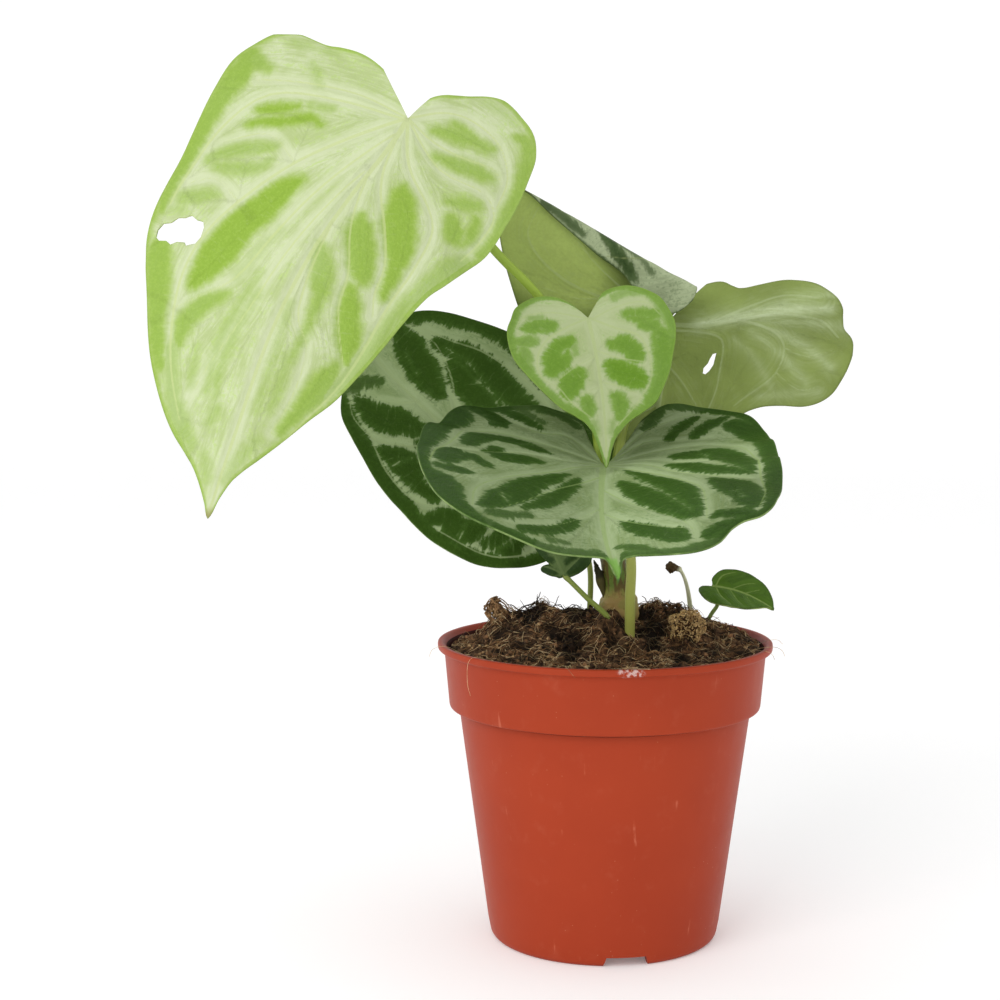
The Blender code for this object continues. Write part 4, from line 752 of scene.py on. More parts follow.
class Finish:
    """A procedural material: a Principled shader and the nodes that feed it."""

    def __init__(self, name, specular):
        self.material = bpy.data.materials.new(name)
        self.material.use_nodes = True
        self.tree = self.material.node_tree
        self.shader = self.tree.nodes["Principled BSDF"]
        self.shader.inputs["Specular IOR Level"].default_value = specular

    def feed(self, socket, value):
        if isinstance(value, Wire):
            self.tree.links.new(value.socket, socket)
        else:
            socket.default_value = value

    def node(self, kind, settings=None, inputs=None, output=0):
        made = self.tree.nodes.new(kind)
        for key, value in (settings or {}).items():
            setattr(made, key, value)
        for key, value in (inputs or {}).items():
            self.feed(made.inputs[key], value)
        return Wire(self, made.outputs[output])

    def reckon(self, operation, first, second):
        return self.node("ShaderNodeMath", {"operation": operation}, {0: first, 1: second})

    def least(self, first, second):
        return self.reckon("MINIMUM", first, second)

    def most(self, first, second):
        return self.reckon("MAXIMUM", first, second)

    def step(self, value, low, high):
        """A soft step from 0 at low to 1 at high, either way round."""
        return self.node(
            "ShaderNodeMapRange", {"interpolation_type": "SMOOTHSTEP"},
            {"Value": value, "From Min": low, "From Max": high})

    def blend(self, share, first, second, kind="MIX"):
        return self.node(
            "ShaderNodeMix", {"data_type": "RGBA", "blend_type": kind}, {0: share, 6: first, 7: second}, 2)

    def attribute(self, name):
        """A number that the mesh keeps at each of its points."""
        return self.node("ShaderNodeAttribute", {"attribute_name": name}, output=2)

    def spot(self):
        """The place in the plant, in metres."""
        return self.node("ShaderNodeTexCoord", output=3)

    def vectors(self, operation, first, second, output=0):
        return self.node("ShaderNodeVectorMath", {"operation": operation}, {0: first, 1: second}, output)

    def stretched(self, x, y, z):
        """The place in the plant, scaled each way: below 1, a pattern there is drawn out."""
        return self.vectors("MULTIPLY", self.spot(), (x, y, z))

    def distance(self, place, point):
        """How many millimetres a place is from a point in metres."""
        return self.vectors("DISTANCE", place, point, 1) / MM

    def noise(self, size, detail=2.0, rough=0.5, at=None):
        """Soft noise from 0 to 1 whose waves are about this many millimetres long."""
        return self.node("ShaderNodeTexNoise", inputs={
            "Vector": at or self.spot(), "Scale": 1 / (size * MM), "Detail": detail, "Roughness": rough})

    def lay(self, across, down):
        """A place on the blade, in metres, from two lengths in millimetres."""
        return self.node("ShaderNodeCombineXYZ", inputs={0: across * MM, 1: down * MM})

    def cells(self, size):
        """The distance to the nearest of many points about this many millimetres apart."""
        return self.node("ShaderNodeTexVoronoi", inputs={"Vector": self.spot(), "Scale": 1 / (size * MM)})

    def bump(self, height, depth, under=None):
        """A surface raised by height times this many millimetres."""
        inputs = {"Height": height, "Distance": depth * MM, "Strength": 1.0}
        if under:
            inputs["Normal"] = under
        return self.node("ShaderNodeBump", inputs=inputs)

    def done(self, **sockets):
        """The material, once its shader's sockets are fed."""
        for name, value in sockets.items():
            self.feed(self.shader.inputs[name.replace("_", " ")], value)
        return self.material


def link(name, data):
    """A new object at the origin, in the scene."""
    thing = bpy.data.objects.new(name, data)
    bpy.context.scene.collection.objects.link(thing)
    return thing


def show(name, mesh, slot, node=None):
    """Puts a piece in the scene; it rides the plant's one body, in place of a node of the part if given."""
    thing = link(name, mesh)
    if node:
        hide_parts(node)
    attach(thing, "root")
    return thing


def smoothed(mesh):
    mesh.polygons.foreach_set("use_smooth", [True] * len(mesh.polygons))
    return mesh


def finished_mesh(name, bm, *materials):
    """The mesh of a bmesh, shaded smooth."""
    mesh = bpy.data.meshes.new(name)
    bm.to_mesh(mesh)
    bm.free()
    for material in materials:
        mesh.materials.append(material)
    return smoothed(mesh)


def planted_mesh(name, bm, *materials):
    """The mesh of a bmesh that was made about the pot's axis, moved to the plant's place."""
    bmesh.ops.translate(bm, verts=bm.verts, vec=(PLANT_SHIFT[0] * MM, PLANT_SHIFT[1] * MM, 0))
    return finished_mesh(name, bm, *materials)


def evaluated_mesh(name, thing):
    """The mesh that an object's modifiers or curve make; the object itself goes."""
    mesh = bpy.data.meshes.new_from_object(thing.evaluated_get(bpy.context.evaluated_depsgraph_get()))
    mesh.name = name
    bpy.data.objects.remove(thing)
    return mesh


def rounded(profile):
    """A profile whose corners are rounded off; each corner is (radius from the axis, height)."""
    points = [Vector(corner) for corner in profile]
    curve = [points[0]]
    for before, corner, after in zip(points, points[1:], points[2:]):
        ways = before - corner, after - corner
        if ways[0].angle(ways[1]) > NEARLY_STRAIGHT:
            curve.append(corner)
            continue
        start, end = (corner + way.normalized() * min(CORNER_RADIUS, way.length * 0.45) for way in ways)
        for t in (step / CORNER_STEPS for step in range(CORNER_STEPS + 1)):
            curve.append((1 - t) ** 2 * start + 2 * t * (1 - t) * corner + t * t * end)
    return curve + [points[-1]]


def turned(profile, steps):
    """A closed solid: the profile spun about the pot's axis."""
    bm = bmesh.new()
    corners = [bm.verts.new((radius * MM, 0, height * MM)) for radius, height in profile]
    edges = [bm.edges.new(pair) for pair in zip(corners, corners[1:])]
    bmesh.ops.spin(
        bm, geom=corners + edges, cent=(0, 0, 0), axis=(0, 0, 1), angle=math.tau, steps=steps,
        use_merge=True, use_duplicate=False)
    bmesh.ops.remove_doubles(bm, verts=bm.verts, dist=MERGE)
    bmesh.ops.recalc_face_normals(bm, faces=bm.faces)
    return bm


def inner_radius(z):
    """The pot wall's inner radius at a height."""
    heights = (FOOT_HEIGHT, FOOT_CORNER_Z, BAND_BOTTOM_Z - WALL, BAND_BOTTOM_Z + WALL, POT_HEIGHT)
    radii = (
        FOOT_RADIUS - WALL, BASE_RADIUS - WALL, NECK_RADIUS - WALL,
        BAND_BOTTOM_RADIUS - WALL, BAND_TOP_RADIUS - WALL)
    return float(np.interp(z, heights, radii))


def soil_height(x, y):
    """The peat's surface: a broad mound, clods, and crumbs of every size."""
    across = ((x - MOUND_MIDDLE[0]) / MOUND_REACH[0]) ** 4
    deep = ((y - MOUND_MIDDLE[1]) / MOUND_REACH[1]) ** 2
    z = SOIL_EDGE_Z + MOUND_HEIGHT * math.exp(-across - deep) + SOIL_SLOPE * y
    for clod_x, clod_y, radius, height in CLODS:
        z += height * math.exp(-((x - clod_x) ** 2 + (y - clod_y) ** 2) / radius**2 * 1.6)
    place = Vector((x, y, 0.0))
    coarse = noise.noise(place / 6.5) * 1.9
    middle = noise.noise(place / 2.9 + Vector((7, 3, 1))) * 1.3
    fine = abs(noise.noise(place / 1.3 + Vector((2, 9, 4)))) * 0.9
    away = min(1.0, max(0.0, (SOIL_EDGE - math.hypot(x, y)) / 4 + 0.35))
    return z + (coarse + middle + fine - 0.3) * away


def smooth_path(points, count):
    """Points along a Catmull-Rom curve through the given rows of numbers."""
    rows = np.array(points, float)
    rows = np.vstack([2 * rows[0] - rows[1], rows, 2 * rows[-1] - rows[-2]])
    spans = len(rows) - 3
    path = []
    for step in np.linspace(0, spans, count):
        span = min(int(step), spans - 1)
        t = step - span
        a, b, c, d = rows[span : span + 4]
        squared, cubed = 2 * a - 5 * b + 4 * c - d, 3 * b - a - 3 * c + d
        path.append(0.5 * (2 * b + (c - a) * t + squared * t**2 + cubed * t**3))
    return np.array(path)


def unit(vectors):
    return vectors / np.linalg.norm(vectors, axis=-1, keepdims=True)


def smooth_reach(leaf, degrees):
    """How far the edge is from the joint at an angle: a smooth curve through the leaf's reach."""
    angles, reaches = np.array(leaf["reach"], float).T
    slopes = np.gradient(reaches, angles)
    first = np.clip(np.searchsorted(angles, degrees) - 1, 0, len(angles) - 2)
    span = angles[first + 1] - angles[first]
    t = (degrees - angles[first]) / span
    start = reaches[first] * (2 * t**3 - 3 * t**2 + 1) + slopes[first] * span * (t**3 - 2 * t**2 + t)
    return start + reaches[first + 1] * (3 * t**2 - 2 * t**3) + slopes[first + 1] * span * (t**3 - t**2)


class Blade:
    """A leaf's surface: a point for each place across (+ is to the right) and along the midrib."""

    def __init__(self, leaf):
        self.leaf = leaf
        self.start, self.bend, self.end = (np.array(leaf[key], float) for key in ("attach", "bend", "tip"))
        self.steps = np.linspace(0, 1, 81)
        rib = self.rib_curve(self.steps[:, None])[0]
        self.lengths = np.r_[0, np.cumsum(np.linalg.norm(np.diff(rib, axis=0), axis=1))]

    def rib_curve(self, t):
        point = (1 - t) ** 2 * self.start + 2 * t * (1 - t) * self.bend + t * t * self.end
        return point, unit(2 * (1 - t) * (self.bend - self.start) + 2 * t * (self.end - self.bend))

    def axes(self, along):
        """The midrib's point, its direction, the way across and the way up from the blade."""
        point, forward = self.rib_curve(np.interp(along, self.lengths, self.steps)[..., None])
        across = unit(np.cross(unit(np.array(self.leaf["face"], float)), forward))
        up = np.cross(forward, across)
        behind = -np.minimum(along, 0.0)[..., None]
        curl = math.radians(self.leaf.get("lobe_curl", 0)) / 100 + 1e-9
        turn = behind * curl
        point = point - forward * np.sin(turn) / curl + up * (1 - np.cos(turn)) / curl
        forward, up = forward * np.cos(turn) - up * np.sin(turn), up * np.cos(turn) + forward * np.sin(turn)
        return point, forward, across, up

    def creased(self, across, along, degrees):
        """Where each place goes when the creases are turned over, and its height off the blade."""
        height = np.zeros_like(across)
        for crease in self.leaf.get("creases", ()):
            ahead = np.array(crease["towards"])
            beyond = (across - crease["line"][0]) * ahead[0] + (along - crease["line"][1]) * ahead[1]
            turned_part = (beyond > 0) & (degrees > crease.get("after", -360))
            turned_part &= degrees < crease.get("before", 360)
            full = math.radians(crease["angle"])
            turn = np.minimum(beyond / crease["radius"], full)
            rest = beyond - crease["radius"] * turn
            moved = crease["radius"] * np.sin(turn) + rest * np.cos(turn)
            lifted = crease["radius"] * (1 - np.cos(turn)) + rest * np.sin(turn)
            shift = np.where(turned_part, moved - beyond, 0.0)
            across, along = across + shift * ahead[0], along + shift * ahead[1]
            height = height + np.where(turned_part, lifted, 0.0) * crease["side"]
        return across, along, height

    def place(self, across, along, height):
        """The point at a height over a place in the blade."""
        point, _, side, up = self.axes(along)
        distance = np.abs(across)
        out, rise = np.zeros_like(across), np.zeros_like(across)
        for chosen, (lean, curl) in zip((across < 0, across >= 0), self.leaf["sides"]):
            lean, curl = math.radians(lean), math.radians(curl) / 100 + 1e-9
            out = np.where(chosen, (np.sin(lean + curl * distance) - math.sin(lean)) / curl, out)
            rise = np.where(chosen, (math.cos(lean) - np.cos(lean + curl * distance)) / curl, rise)
        return point + side * (out * np.sign(across))[..., None] + up * (rise + height)[..., None]

    def polar(self, share, degrees):
        """The point at a share of the edge's reach, and its places across and along."""
        reach = smooth_reach(self.leaf, degrees)
        across = share * reach * np.sin(np.radians(degrees))
        along = share * reach * np.cos(np.radians(degrees))
        wave_height, waves = self.leaf["ripple"]
        ripple = wave_height * share**3 * np.sin(np.radians(degrees) * waves + 0.7)
        moved_across, moved_along, height = self.creased(across, along, degrees)
        return self.place(moved_across, moved_along, height + ripple), across, along


def spoke_angles(leaf, spokes):
    """The spokes' angles: even steps along the edge, from each lobe to the tip."""
    angles = []
    for end in (leaf["reach"][0][0], leaf["reach"][-1][0]):
        degrees = np.linspace(end, 0, 1441)
        reach = smooth_reach(leaf, degrees)
        edge = np.stack([reach * np.sin(np.radians(degrees)), reach * np.cos(np.radians(degrees))], 1)
        run = np.r_[0, np.cumsum(np.linalg.norm(np.diff(edge, axis=0), axis=1))]
        angles.append(np.interp(np.linspace(0, run[-1], spokes // 2 + 1), run, degrees))
    return np.r_[angles[0], angles[1][-2::-1]]


def beside_bands(places, bands):
    """How far each place is from the nearest band's edge (below zero inside it), on which side of the band
    and how far from its middle line, and how far down it. A band is (across, along, half width) rows."""
    nearest, beside, down = (np.full(len(places), FAR) for _ in range(3))
    for index, rows in enumerate(bands):
        band = smooth_path(rows, 4 * len(rows) - 3)
        gone = BAND_OFFSET * index
        for first, last in zip(band, band[1:]):
            run = last[:2] - first[:2]
            length = max(math.hypot(*run), 1e-6)
            share = np.clip((places - first[:2]) @ run / length**2, 0, 1)
            off = places - first[:2] - share[:, None] * run
            from_middle = np.linalg.norm(off, axis=1)
            away = from_middle - first[2] - share * (last[2] - first[2])
            closer = away < nearest
            side = np.sign(run[0] * off[:, 1] - run[1] * off[:, 0])
            nearest = np.where(closer, away, nearest)
            beside = np.where(closer, side * from_middle, beside)
            down = np.where(closer, gone + share * length, down)
            gone += length
    return nearest, beside, down


def inside_outline(outline, places):
    """Whether each place is inside a closed outline."""
    crossed = np.zeros(len(places), bool)
    for (x1, y1), (x2, y2) in zip(outline, outline[1:] + outline[:1]):
        between = (y1 > places[:, 1]) != (y2 > places[:, 1])
        at = x1 + (places[:, 1] - y1) * (x2 - x1) / (y2 - y1 if y2 != y1 else 1e-9)
        crossed ^= between & (places[:, 0] < at)
    return crossed


def tone(name, key, shade=1.0):
    """One of a blade's colours, as light given back."""
    look = LOOKS[name]
    return (*[value * look["shade"] * shade for value in srgb(*look[key])[:3]], 1.0)


def seated_end(stalk, blade):
    """Where a stalk ends: just inside the blade at its joint."""
    point, _, _, up = blade.axes(np.array(0.0))
    end = point - up * stalk["radius"][1]
    for _ in range(4):
        comes = unit(end - np.array(stalk["points"][-1], float))
        end = point - up * stalk["radius"][1] * math.sqrt(max(0.0, 1 - float(comes @ up) ** 2))
    return end - up * 0.7


def blade_mesh(name, leaf, blade):
    """The blade's grid from its joint to its edge, torn where it has a hole; each corner keeps its share of
    the way out and its angle, which come with it."""
    rings, spokes = GRIDS[name]
    bm = bmesh.new()
    share_layer, angle_layer = (bm.verts.layers.float.new(key) for key in ("share", "degrees"))
    bmesh.ops.create_grid(bm, x_segments=rings, y_segments=spokes, size=0.5)
    grid = np.array([corner.co for corner in bm.verts])
    share = EDGE_SHARE * (grid[:, 0] + 0.5) ** 0.8
    degrees = spoke_angles(leaf, spokes)[np.rint((grid[:, 1] + 0.5) * spokes).astype(int)]
    for corner, point, out, angle in zip(bm.verts, blade.polar(share, degrees)[0], share, degrees):
        corner.co = point * MM
        corner[share_layer], corner[angle_layer] = float(out), float(angle)
    bmesh.ops.remove_doubles(bm, verts=bm.verts, dist=MERGE)
    share, degrees = (
        np.array([corner[layer] for corner in bm.verts])
        for layer in (bm.verts.layers.float["share"], bm.verts.layers.float["degrees"]))
    if name in HOLES:
        share, degrees = tear(bm, leaf, HOLES[name], share, degrees)
    return bm, share, degrees


def build_blade(name, thickness, relief):
    """A waved blade with sunk veins; each place in it knows its veins, islands and edge."""
    leaf = LEAVES[name]
    blade = Blade(leaf)
    length = blade.lengths[-1]
    bm, share, degrees = blade_mesh(name, leaf, blade)
    points, across, along = blade.polar(share, degrees)
    # What reaches past the midrib's end hangs down
    points[:, 2] -= np.maximum(along - length, 0)
    low, high = plant_box()
    for corner, point in zip(bm.verts, np.clip(points, low + BOX_GAP, high - BOX_GAP)):
        corner.co = point * MM
    bm.normal_update()
    up = Vector(blade.axes(np.array(length / 2))[3])
    if sum(face.calc_area() * face.normal.dot(up) for face in bm.faces) < 0:
        bmesh.ops.reverse_faces(bm, faces=bm.faces)
        bm.normal_update()
    places = np.stack([across, along], 1)
    edge = (1 - share) * smooth_reach(leaf, degrees)
    vein, beside, down = beside_bands(places, VEINS[name])
    island, strength = islands_at(places, name)
    glow = np.clip(beside_bands(places, GLOWS.get(name, ()))[0] / -GLOW_DEPTH, 0, 1)
    frill = np.array([noise.noise(Vector((angle * 0.09, 3.0, 0.0))) for angle in degrees])
    frill = 0.008 * length * frill * np.clip(share, 0, 1) ** 8
    ease = np.clip(edge / 6, 0, 1) * np.clip(share * 8, 0, 1)
    sunk = 0.8 * np.clip(vein / 5, 0, 1) ** 0.7 - 0.6 * np.exp(-((np.maximum(vein, 0) / 0.9) ** 2))
    weights = np.exp(-((across / 1.2) ** 2)) * np.clip(1.1 - along / length, 0, 1) * (along > -1.5)
    rib_layer = bm.verts.layers.deform.verify()
    for corner, height, weight in zip(bm.verts, relief * ease * sunk + frill, weights):
        corner.co += corner.normal * float(height) * MM
        corner[rib_layer][0] = float(weight)
    bmesh.ops.triangulate(bm, faces=[face for face in bm.faces if len(face.verts) > 4])
    mesh = planted_mesh(name + "_blade", bm, leaf_face(name), leaf_underside(name), leaf_rim(name))
    for key, values in dict(
            island=island, strength=strength, vein=vein, edge=edge, fan=fans_at(places, name), glow=glow,
            beside=beside, down=down, tipward=along / length).items():
        mesh.attributes.new(key, "FLOAT", "POINT").data.foreach_set("value", values.astype(np.float32))
    thing = show(name + "_blade", mesh, name, name)
    thing.vertex_groups.new(name="rib")
    wall = thing.modifiers.new("thickness", "SOLIDIFY")
    wall.thickness, wall.offset = RIB * MM, -1.0
    wall.vertex_group = "rib"
    wall.thickness_vertex_group = thickness / (RIB * MM)
    wall.material_offset, wall.material_offset_rim = 1, 2


def plant_box():
    """The lowest and highest corners of the whole part, in millimetres from the pot's axis."""
    corners = np.array([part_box(node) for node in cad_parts]) / MM - (*PLANT_SHIFT, 0.0)
    return corners[:, 0].min(axis=0), corners[:, 1].max(axis=0)


def tear(bm, leaf, outline, share, degrees):
    """Lays the blade flat and cuts a torn hole out of it along its outline."""
    for corner, far, angle in zip(bm.verts, share * smooth_reach(leaf, degrees), np.radians(degrees)):
        corner.co = (far * math.sin(angle), far * math.cos(angle), 0)
    middle, size = np.mean(outline, axis=0), np.ptp(outline, axis=0).max()
    faces = [face for face in bm.faces if np.hypot(*(np.array(face.verts[0].co)[:2] - middle)) < size]
    near = faces + list({edge for face in faces for edge in face.edges})
    near += list({corner for face in faces for corner in face.verts})
    for (x1, y1), (x2, y2) in zip(outline, outline[1:] + outline[:1]):
        near = bmesh.ops.bisect_plane(
            bm, geom=near, dist=CUT_REACH, plane_co=(x1, y1, 0), plane_no=(y2 - y1, x1 - x2, 0))["geom"]
    faces = [part for part in near if isinstance(part, bmesh.types.BMFace)]
    middles = np.array([face.calc_center_median()[:2] for face in faces])
    gone = [face for face, hit in zip(faces, inside_outline(outline, middles)) if hit]
    bmesh.ops.delete(bm, geom=gone, context="FACES")
    across, along = np.array([corner.co[:2] for corner in bm.verts]).T
    flat = np.degrees(np.arctan2(across, along))
    known = np.array([corner[bm.verts.layers.float["degrees"]] for corner in bm.verts])
    degrees = flat + 360 * np.rint((known - flat) / 360)
    return np.hypot(across, along) / smooth_reach(leaf, degrees), degrees


def islands_at(places, name):
    """How far each place is from an island's shore (below zero inside), and that island's strength."""
    nearest, strength = np.full(len(places), ISLAND_REACH), np.full(len(places), PLAIN_STRENGTH)
    for power, *rows in ISLANDS[name]:
        away = beside_bands(places, (rows,))[0]
        strength = np.where(away < nearest, power, strength)
        nearest = np.minimum(nearest, away)
    return np.maximum(nearest, -beside_bands(places, THREADS.get(name, ()))[0]), strength


def fans_at(places, name):
    """How much painted light lies on the underside at each place."""
    fan = np.zeros(len(places))
    for power, *rows in LIT_BANDS.get(name, ()):
        away = beside_bands(places, (rows,))[0]
        fan = np.maximum(fan, power * np.exp(-np.maximum(away, 0) / LIT_BAND_FADE))
    return fan


def leaf_face(name):
    """The blade's upper face: green islands with feathered shores on silver, and pale veins."""
    look = LOOKS[name]
    finish = Finish(name + "_face", look["sheen"])
    grain, fine, broad = finish.noise(4.0, 3, 0.6), finish.noise(1.3, 3, 0.65), finish.noise(16, 3, 0.55)
    beside, down = finish.attribute("beside"), finish.attribute("down")
    spikes = finish.noise(1.3, 3, 0.6, finish.lay(beside * 0.22, down))
    streaks = finish.noise(1.1, 3, 0.6, finish.lay(beside, down * 0.12))
    feather = ((grain - 0.5) * 4.0 + (fine - 0.5) * 2.0 + (spikes - 0.5) * look["spiky"]) * look["ragged"]
    vein, edge = finish.attribute("vein"), finish.attribute("edge")
    rim = edge - look["band"]
    strength = finish.most(finish.attribute("strength"), finish.step(rim, 0.5, -0.5) * 0.85)
    shore = finish.least(finish.attribute("island") - look["spread"], rim) + feather
    mixed = finish.step(broad + (streaks - 0.5) * 1.2, 0.25, 0.8)
    silver = finish.blend(mixed, tone(name, "silver"), tone(name, "bright"))
    silver = finish.blend(finish.step(vein, 3.4, 0.1) * 0.75, silver, tone(name, "bright"))
    flecks = finish.step(streaks + (fine - 0.5) * 0.8, 0.50, 0.72) * finish.step(vein, 0.6, 3.5) * 0.45
    silver = finish.blend(flecks, silver, tone(name, "green", 1.3))
    deep = finish.blend(finish.step(shore, -0.3, -3.0), tone(name, "green"), tone(name, "deep"))
    cells = finish.step(finish.noise(1.0, 2, 0.6), 0.45, 0.65) * 0.25
    deep = finish.blend(cells, deep, tone(name, "green", 1.2))
    pale = finish.step(spikes, 0.56, 0.74) * finish.step(edge, 3.0, 8.0) * 0.2
    deep = finish.blend(pale, deep, tone(name, "silver"))
    colour = finish.blend(finish.step(shore, look["soft"] + 0.2, -look["soft"]) * strength, silver, deep)
    colour = finish.blend(finish.step(edge, 0.9, 0.2) * 0.7, colour, tone(name, "margin"))
    veined = finish.step(vein + (fine - 0.5) * 0.3, 0.15, -0.25) * 0.6
    colour = finish.blend(veined, colour, tone(name, "vein"))
    if "tip" in look:
        tipward = finish.step(finish.attribute("tipward"), look["tip_at"], look["tip_at"] + 0.03)
        colour = finish.blend(tipward * finish.step(vein, 1.5, 0.4) * 0.8, colour, tone(name, "tip"))
    if "shine" in look:
        colour = finish.blend(finish.attribute("glow"), colour, (*[look["shine"]] * 3, 1.0), "MULTIPLY")
    roughness = look["gloss"] + (grain - 0.5) * 0.10 + finish.step(shore, -1.0, 1.0) * 0.05
    quilt = finish.bump(finish.noise(3.2, 2, 0.5) + streaks * 0.4, 0.30)
    skin = finish.bump(finish.cells(0.42), 0.045, quilt)
    return finish.done(Base_Color=colour, Roughness=roughness, Normal=skin)


def leaf_rim(name):
    """The blade's cut edge: paler than its face."""
    finish = Finish(name + "_rim", 0.1)
    worn = finish.step(finish.noise(7.0, 3, 0.6), 0.35, 0.65)
    colour = finish.blend(worn, tone(name, "margin", 0.9), tone(name, "vein"))
    return finish.done(Base_Color=colour, Roughness=0.6)


def leaf_underside(name):
    """The blade's dull underside, with thin veins and paler bands of painted light along some of them."""
    finish = Finish(name + "_underside", 0.05)
    grain, fine, broad = finish.noise(4.0, 3, 0.6), finish.noise(1.0, 2, 0.6), finish.noise(18, 3, 0.55)
    vein, fan, edge = finish.attribute("vein"), finish.attribute("fan"), finish.attribute("edge")
    beside, down = finish.attribute("beside"), finish.attribute("down")
    streaks = finish.noise(1.0, 3, 0.6, finish.lay(beside, down * 0.10))
    under, pale = tone(name, "under"), tone(name, "bright", 1.3)
    colour = finish.blend(finish.step(broad, 0.3, 0.7), tone(name, "under", 0.80), under)
    if "lit" in LOOKS[name]:
        colour = finish.blend(finish.step(finish.attribute("glow"), 0.0, 1.0), colour, tone(name, "lit"))
    near = finish.step(vein, 9.0, 1.0)
    streaked = finish.step(streaks + (grain - 0.5) * 0.7, 0.45, 0.75) * near * 0.09
    colour = finish.blend(streaked, colour, pale)
    # Painted light: pale bands where the underside catches the light
    colour = finish.blend(fan * (0.2 + streaks * 1.3) * 0.82, colour, pale)
    mottle = finish.step(grain + (fine - 0.5) * 0.5, 0.30, 0.70) * 0.14
    colour = finish.blend(mottle, colour, tone(name, "under", 0.72))
    colour = finish.blend(finish.step(vein, 0.10, -0.35) * 0.22, colour, pale)
    colour = finish.blend(finish.step(edge, 1.4, 0.3) * 0.5, colour, tone(name, "under", 0.6))
    raised = finish.bump(finish.step(vein, 0.9, -0.3), 0.10)
    quilt = finish.bump(finish.noise(5.0, 3, 0.55) + (fine - 0.5) * 0.3 + streaks * 0.3, 0.5, raised)
    return finish.done(Base_Color=colour, Roughness=0.55 + (grain - 0.5) * 0.1, Normal=quilt)


def tube_mesh(name, rows, around, count, material, shape):
    """A closed tube along (x, y, z, radius) rows; shape(share, angle) is a factor of its radius."""
    path = smooth_path(rows, count)
    middle, radius = path[:, :3], np.maximum(path[:, 3], 0.05)
    ahead = unit(np.gradient(middle, axis=0))
    side = np.cross(ahead, unit(np.cross(ahead, (0.13, 0.97, 0.21))))
    cross = np.cross(ahead, side)
    bm = bmesh.new()
    along_layer = bm.verts.layers.float.new("along")
    bmesh.ops.create_grid(bm, x_segments=count + 1, y_segments=around, size=0.5)
    for corner in bm.verts:
        step = round((corner.co.x + 0.5) * (count + 1))
        angle = (corner.co.y + 0.5) * math.tau
        row = min(max(step - 1, 0), count - 1)
        share = row / (count - 1)
        wide = radius[row] * shape(share, angle) * (step not in (0, count + 1))
        off = side[row] * math.cos(angle) + cross[row] * math.sin(angle)
        corner.co = (middle[row] + off * wide) * MM
        corner[along_layer] = share
    bmesh.ops.remove_doubles(bm, verts=bm.verts, dist=MERGE)
    bmesh.ops.recalc_face_normals(bm, faces=bm.faces)
    return planted_mesh(name, bm, material)


def pot_plastic(settings):
    """Moulded plastic: satin, with faint flow marks, scuffs and some dust."""
    finish = Finish("pot_plastic", 0.08)
    broad, cloud = finish.noise(45, 3, 0.5), finish.noise(9, 4, 0.6)
    marks = finish.step(broad, 0.25, 0.75)
    colour = finish.blend(marks, tuple(settings.colour), tuple(settings.colour_low))
    colour = finish.blend(finish.step(cloud, 0.55, 0.85) * 0.10, colour, srgb(206, 130, 104))
    specks = finish.step(finish.cells(2.6), 0.09, 0.03) * finish.step(finish.noise(20, 2), 0.5, 0.62)
    colour = finish.blend(specks * 0.5, colour, srgb(196, 140, 112))
    away = finish.distance(finish.stretched(1.0, 1.0, SMEAR_STRETCH), SMEAR_PLACE)
    flakes = finish.step(finish.noise(1.6, 3, 0.6), 0.44, 0.6)
    smear = finish.step(away + (cloud - 0.5) * 9.0, 5.2, 3.2) * flakes
    colour = finish.blend(smear * 0.55, colour, srgb(232, 214, 210))
    scratch = finish.noise(2.2, 2, 0.5, finish.stretched(1.0, 1.0, 0.07))
    scuffs = finish.step(scratch, 0.66, 0.74) * finish.step(cloud, 0.52, 0.66)
    colour = finish.blend(scuffs * 0.28, colour, srgb(216, 128, 100))
    roughness = settings.roughness + (finish.noise(5, 3, 0.6) - 0.5) * 0.10
    skin = finish.bump(finish.noise(0.45, 2, 0.5), 0.02)
    waves = finish.bump(broad, 0.5, skin)
    return finish.done(Base_Color=colour, Roughness=roughness, Normal=waves)


def shaded_inner_plastic(settings):
    """The pot's inside: darkened by painted shade, and stained by the peat."""
    finish = Finish("pot_inside_shaded", 0.03)
    stain = finish.step(finish.noise(6, 4, 0.6), 0.4, 0.7)
    colour = finish.blend(stain * 0.6, tuple(settings.colour_inside_shaded), srgb(58, 36, 28))
    return finish.done(Base_Color=colour, Roughness=0.55 + stain * 0.15)


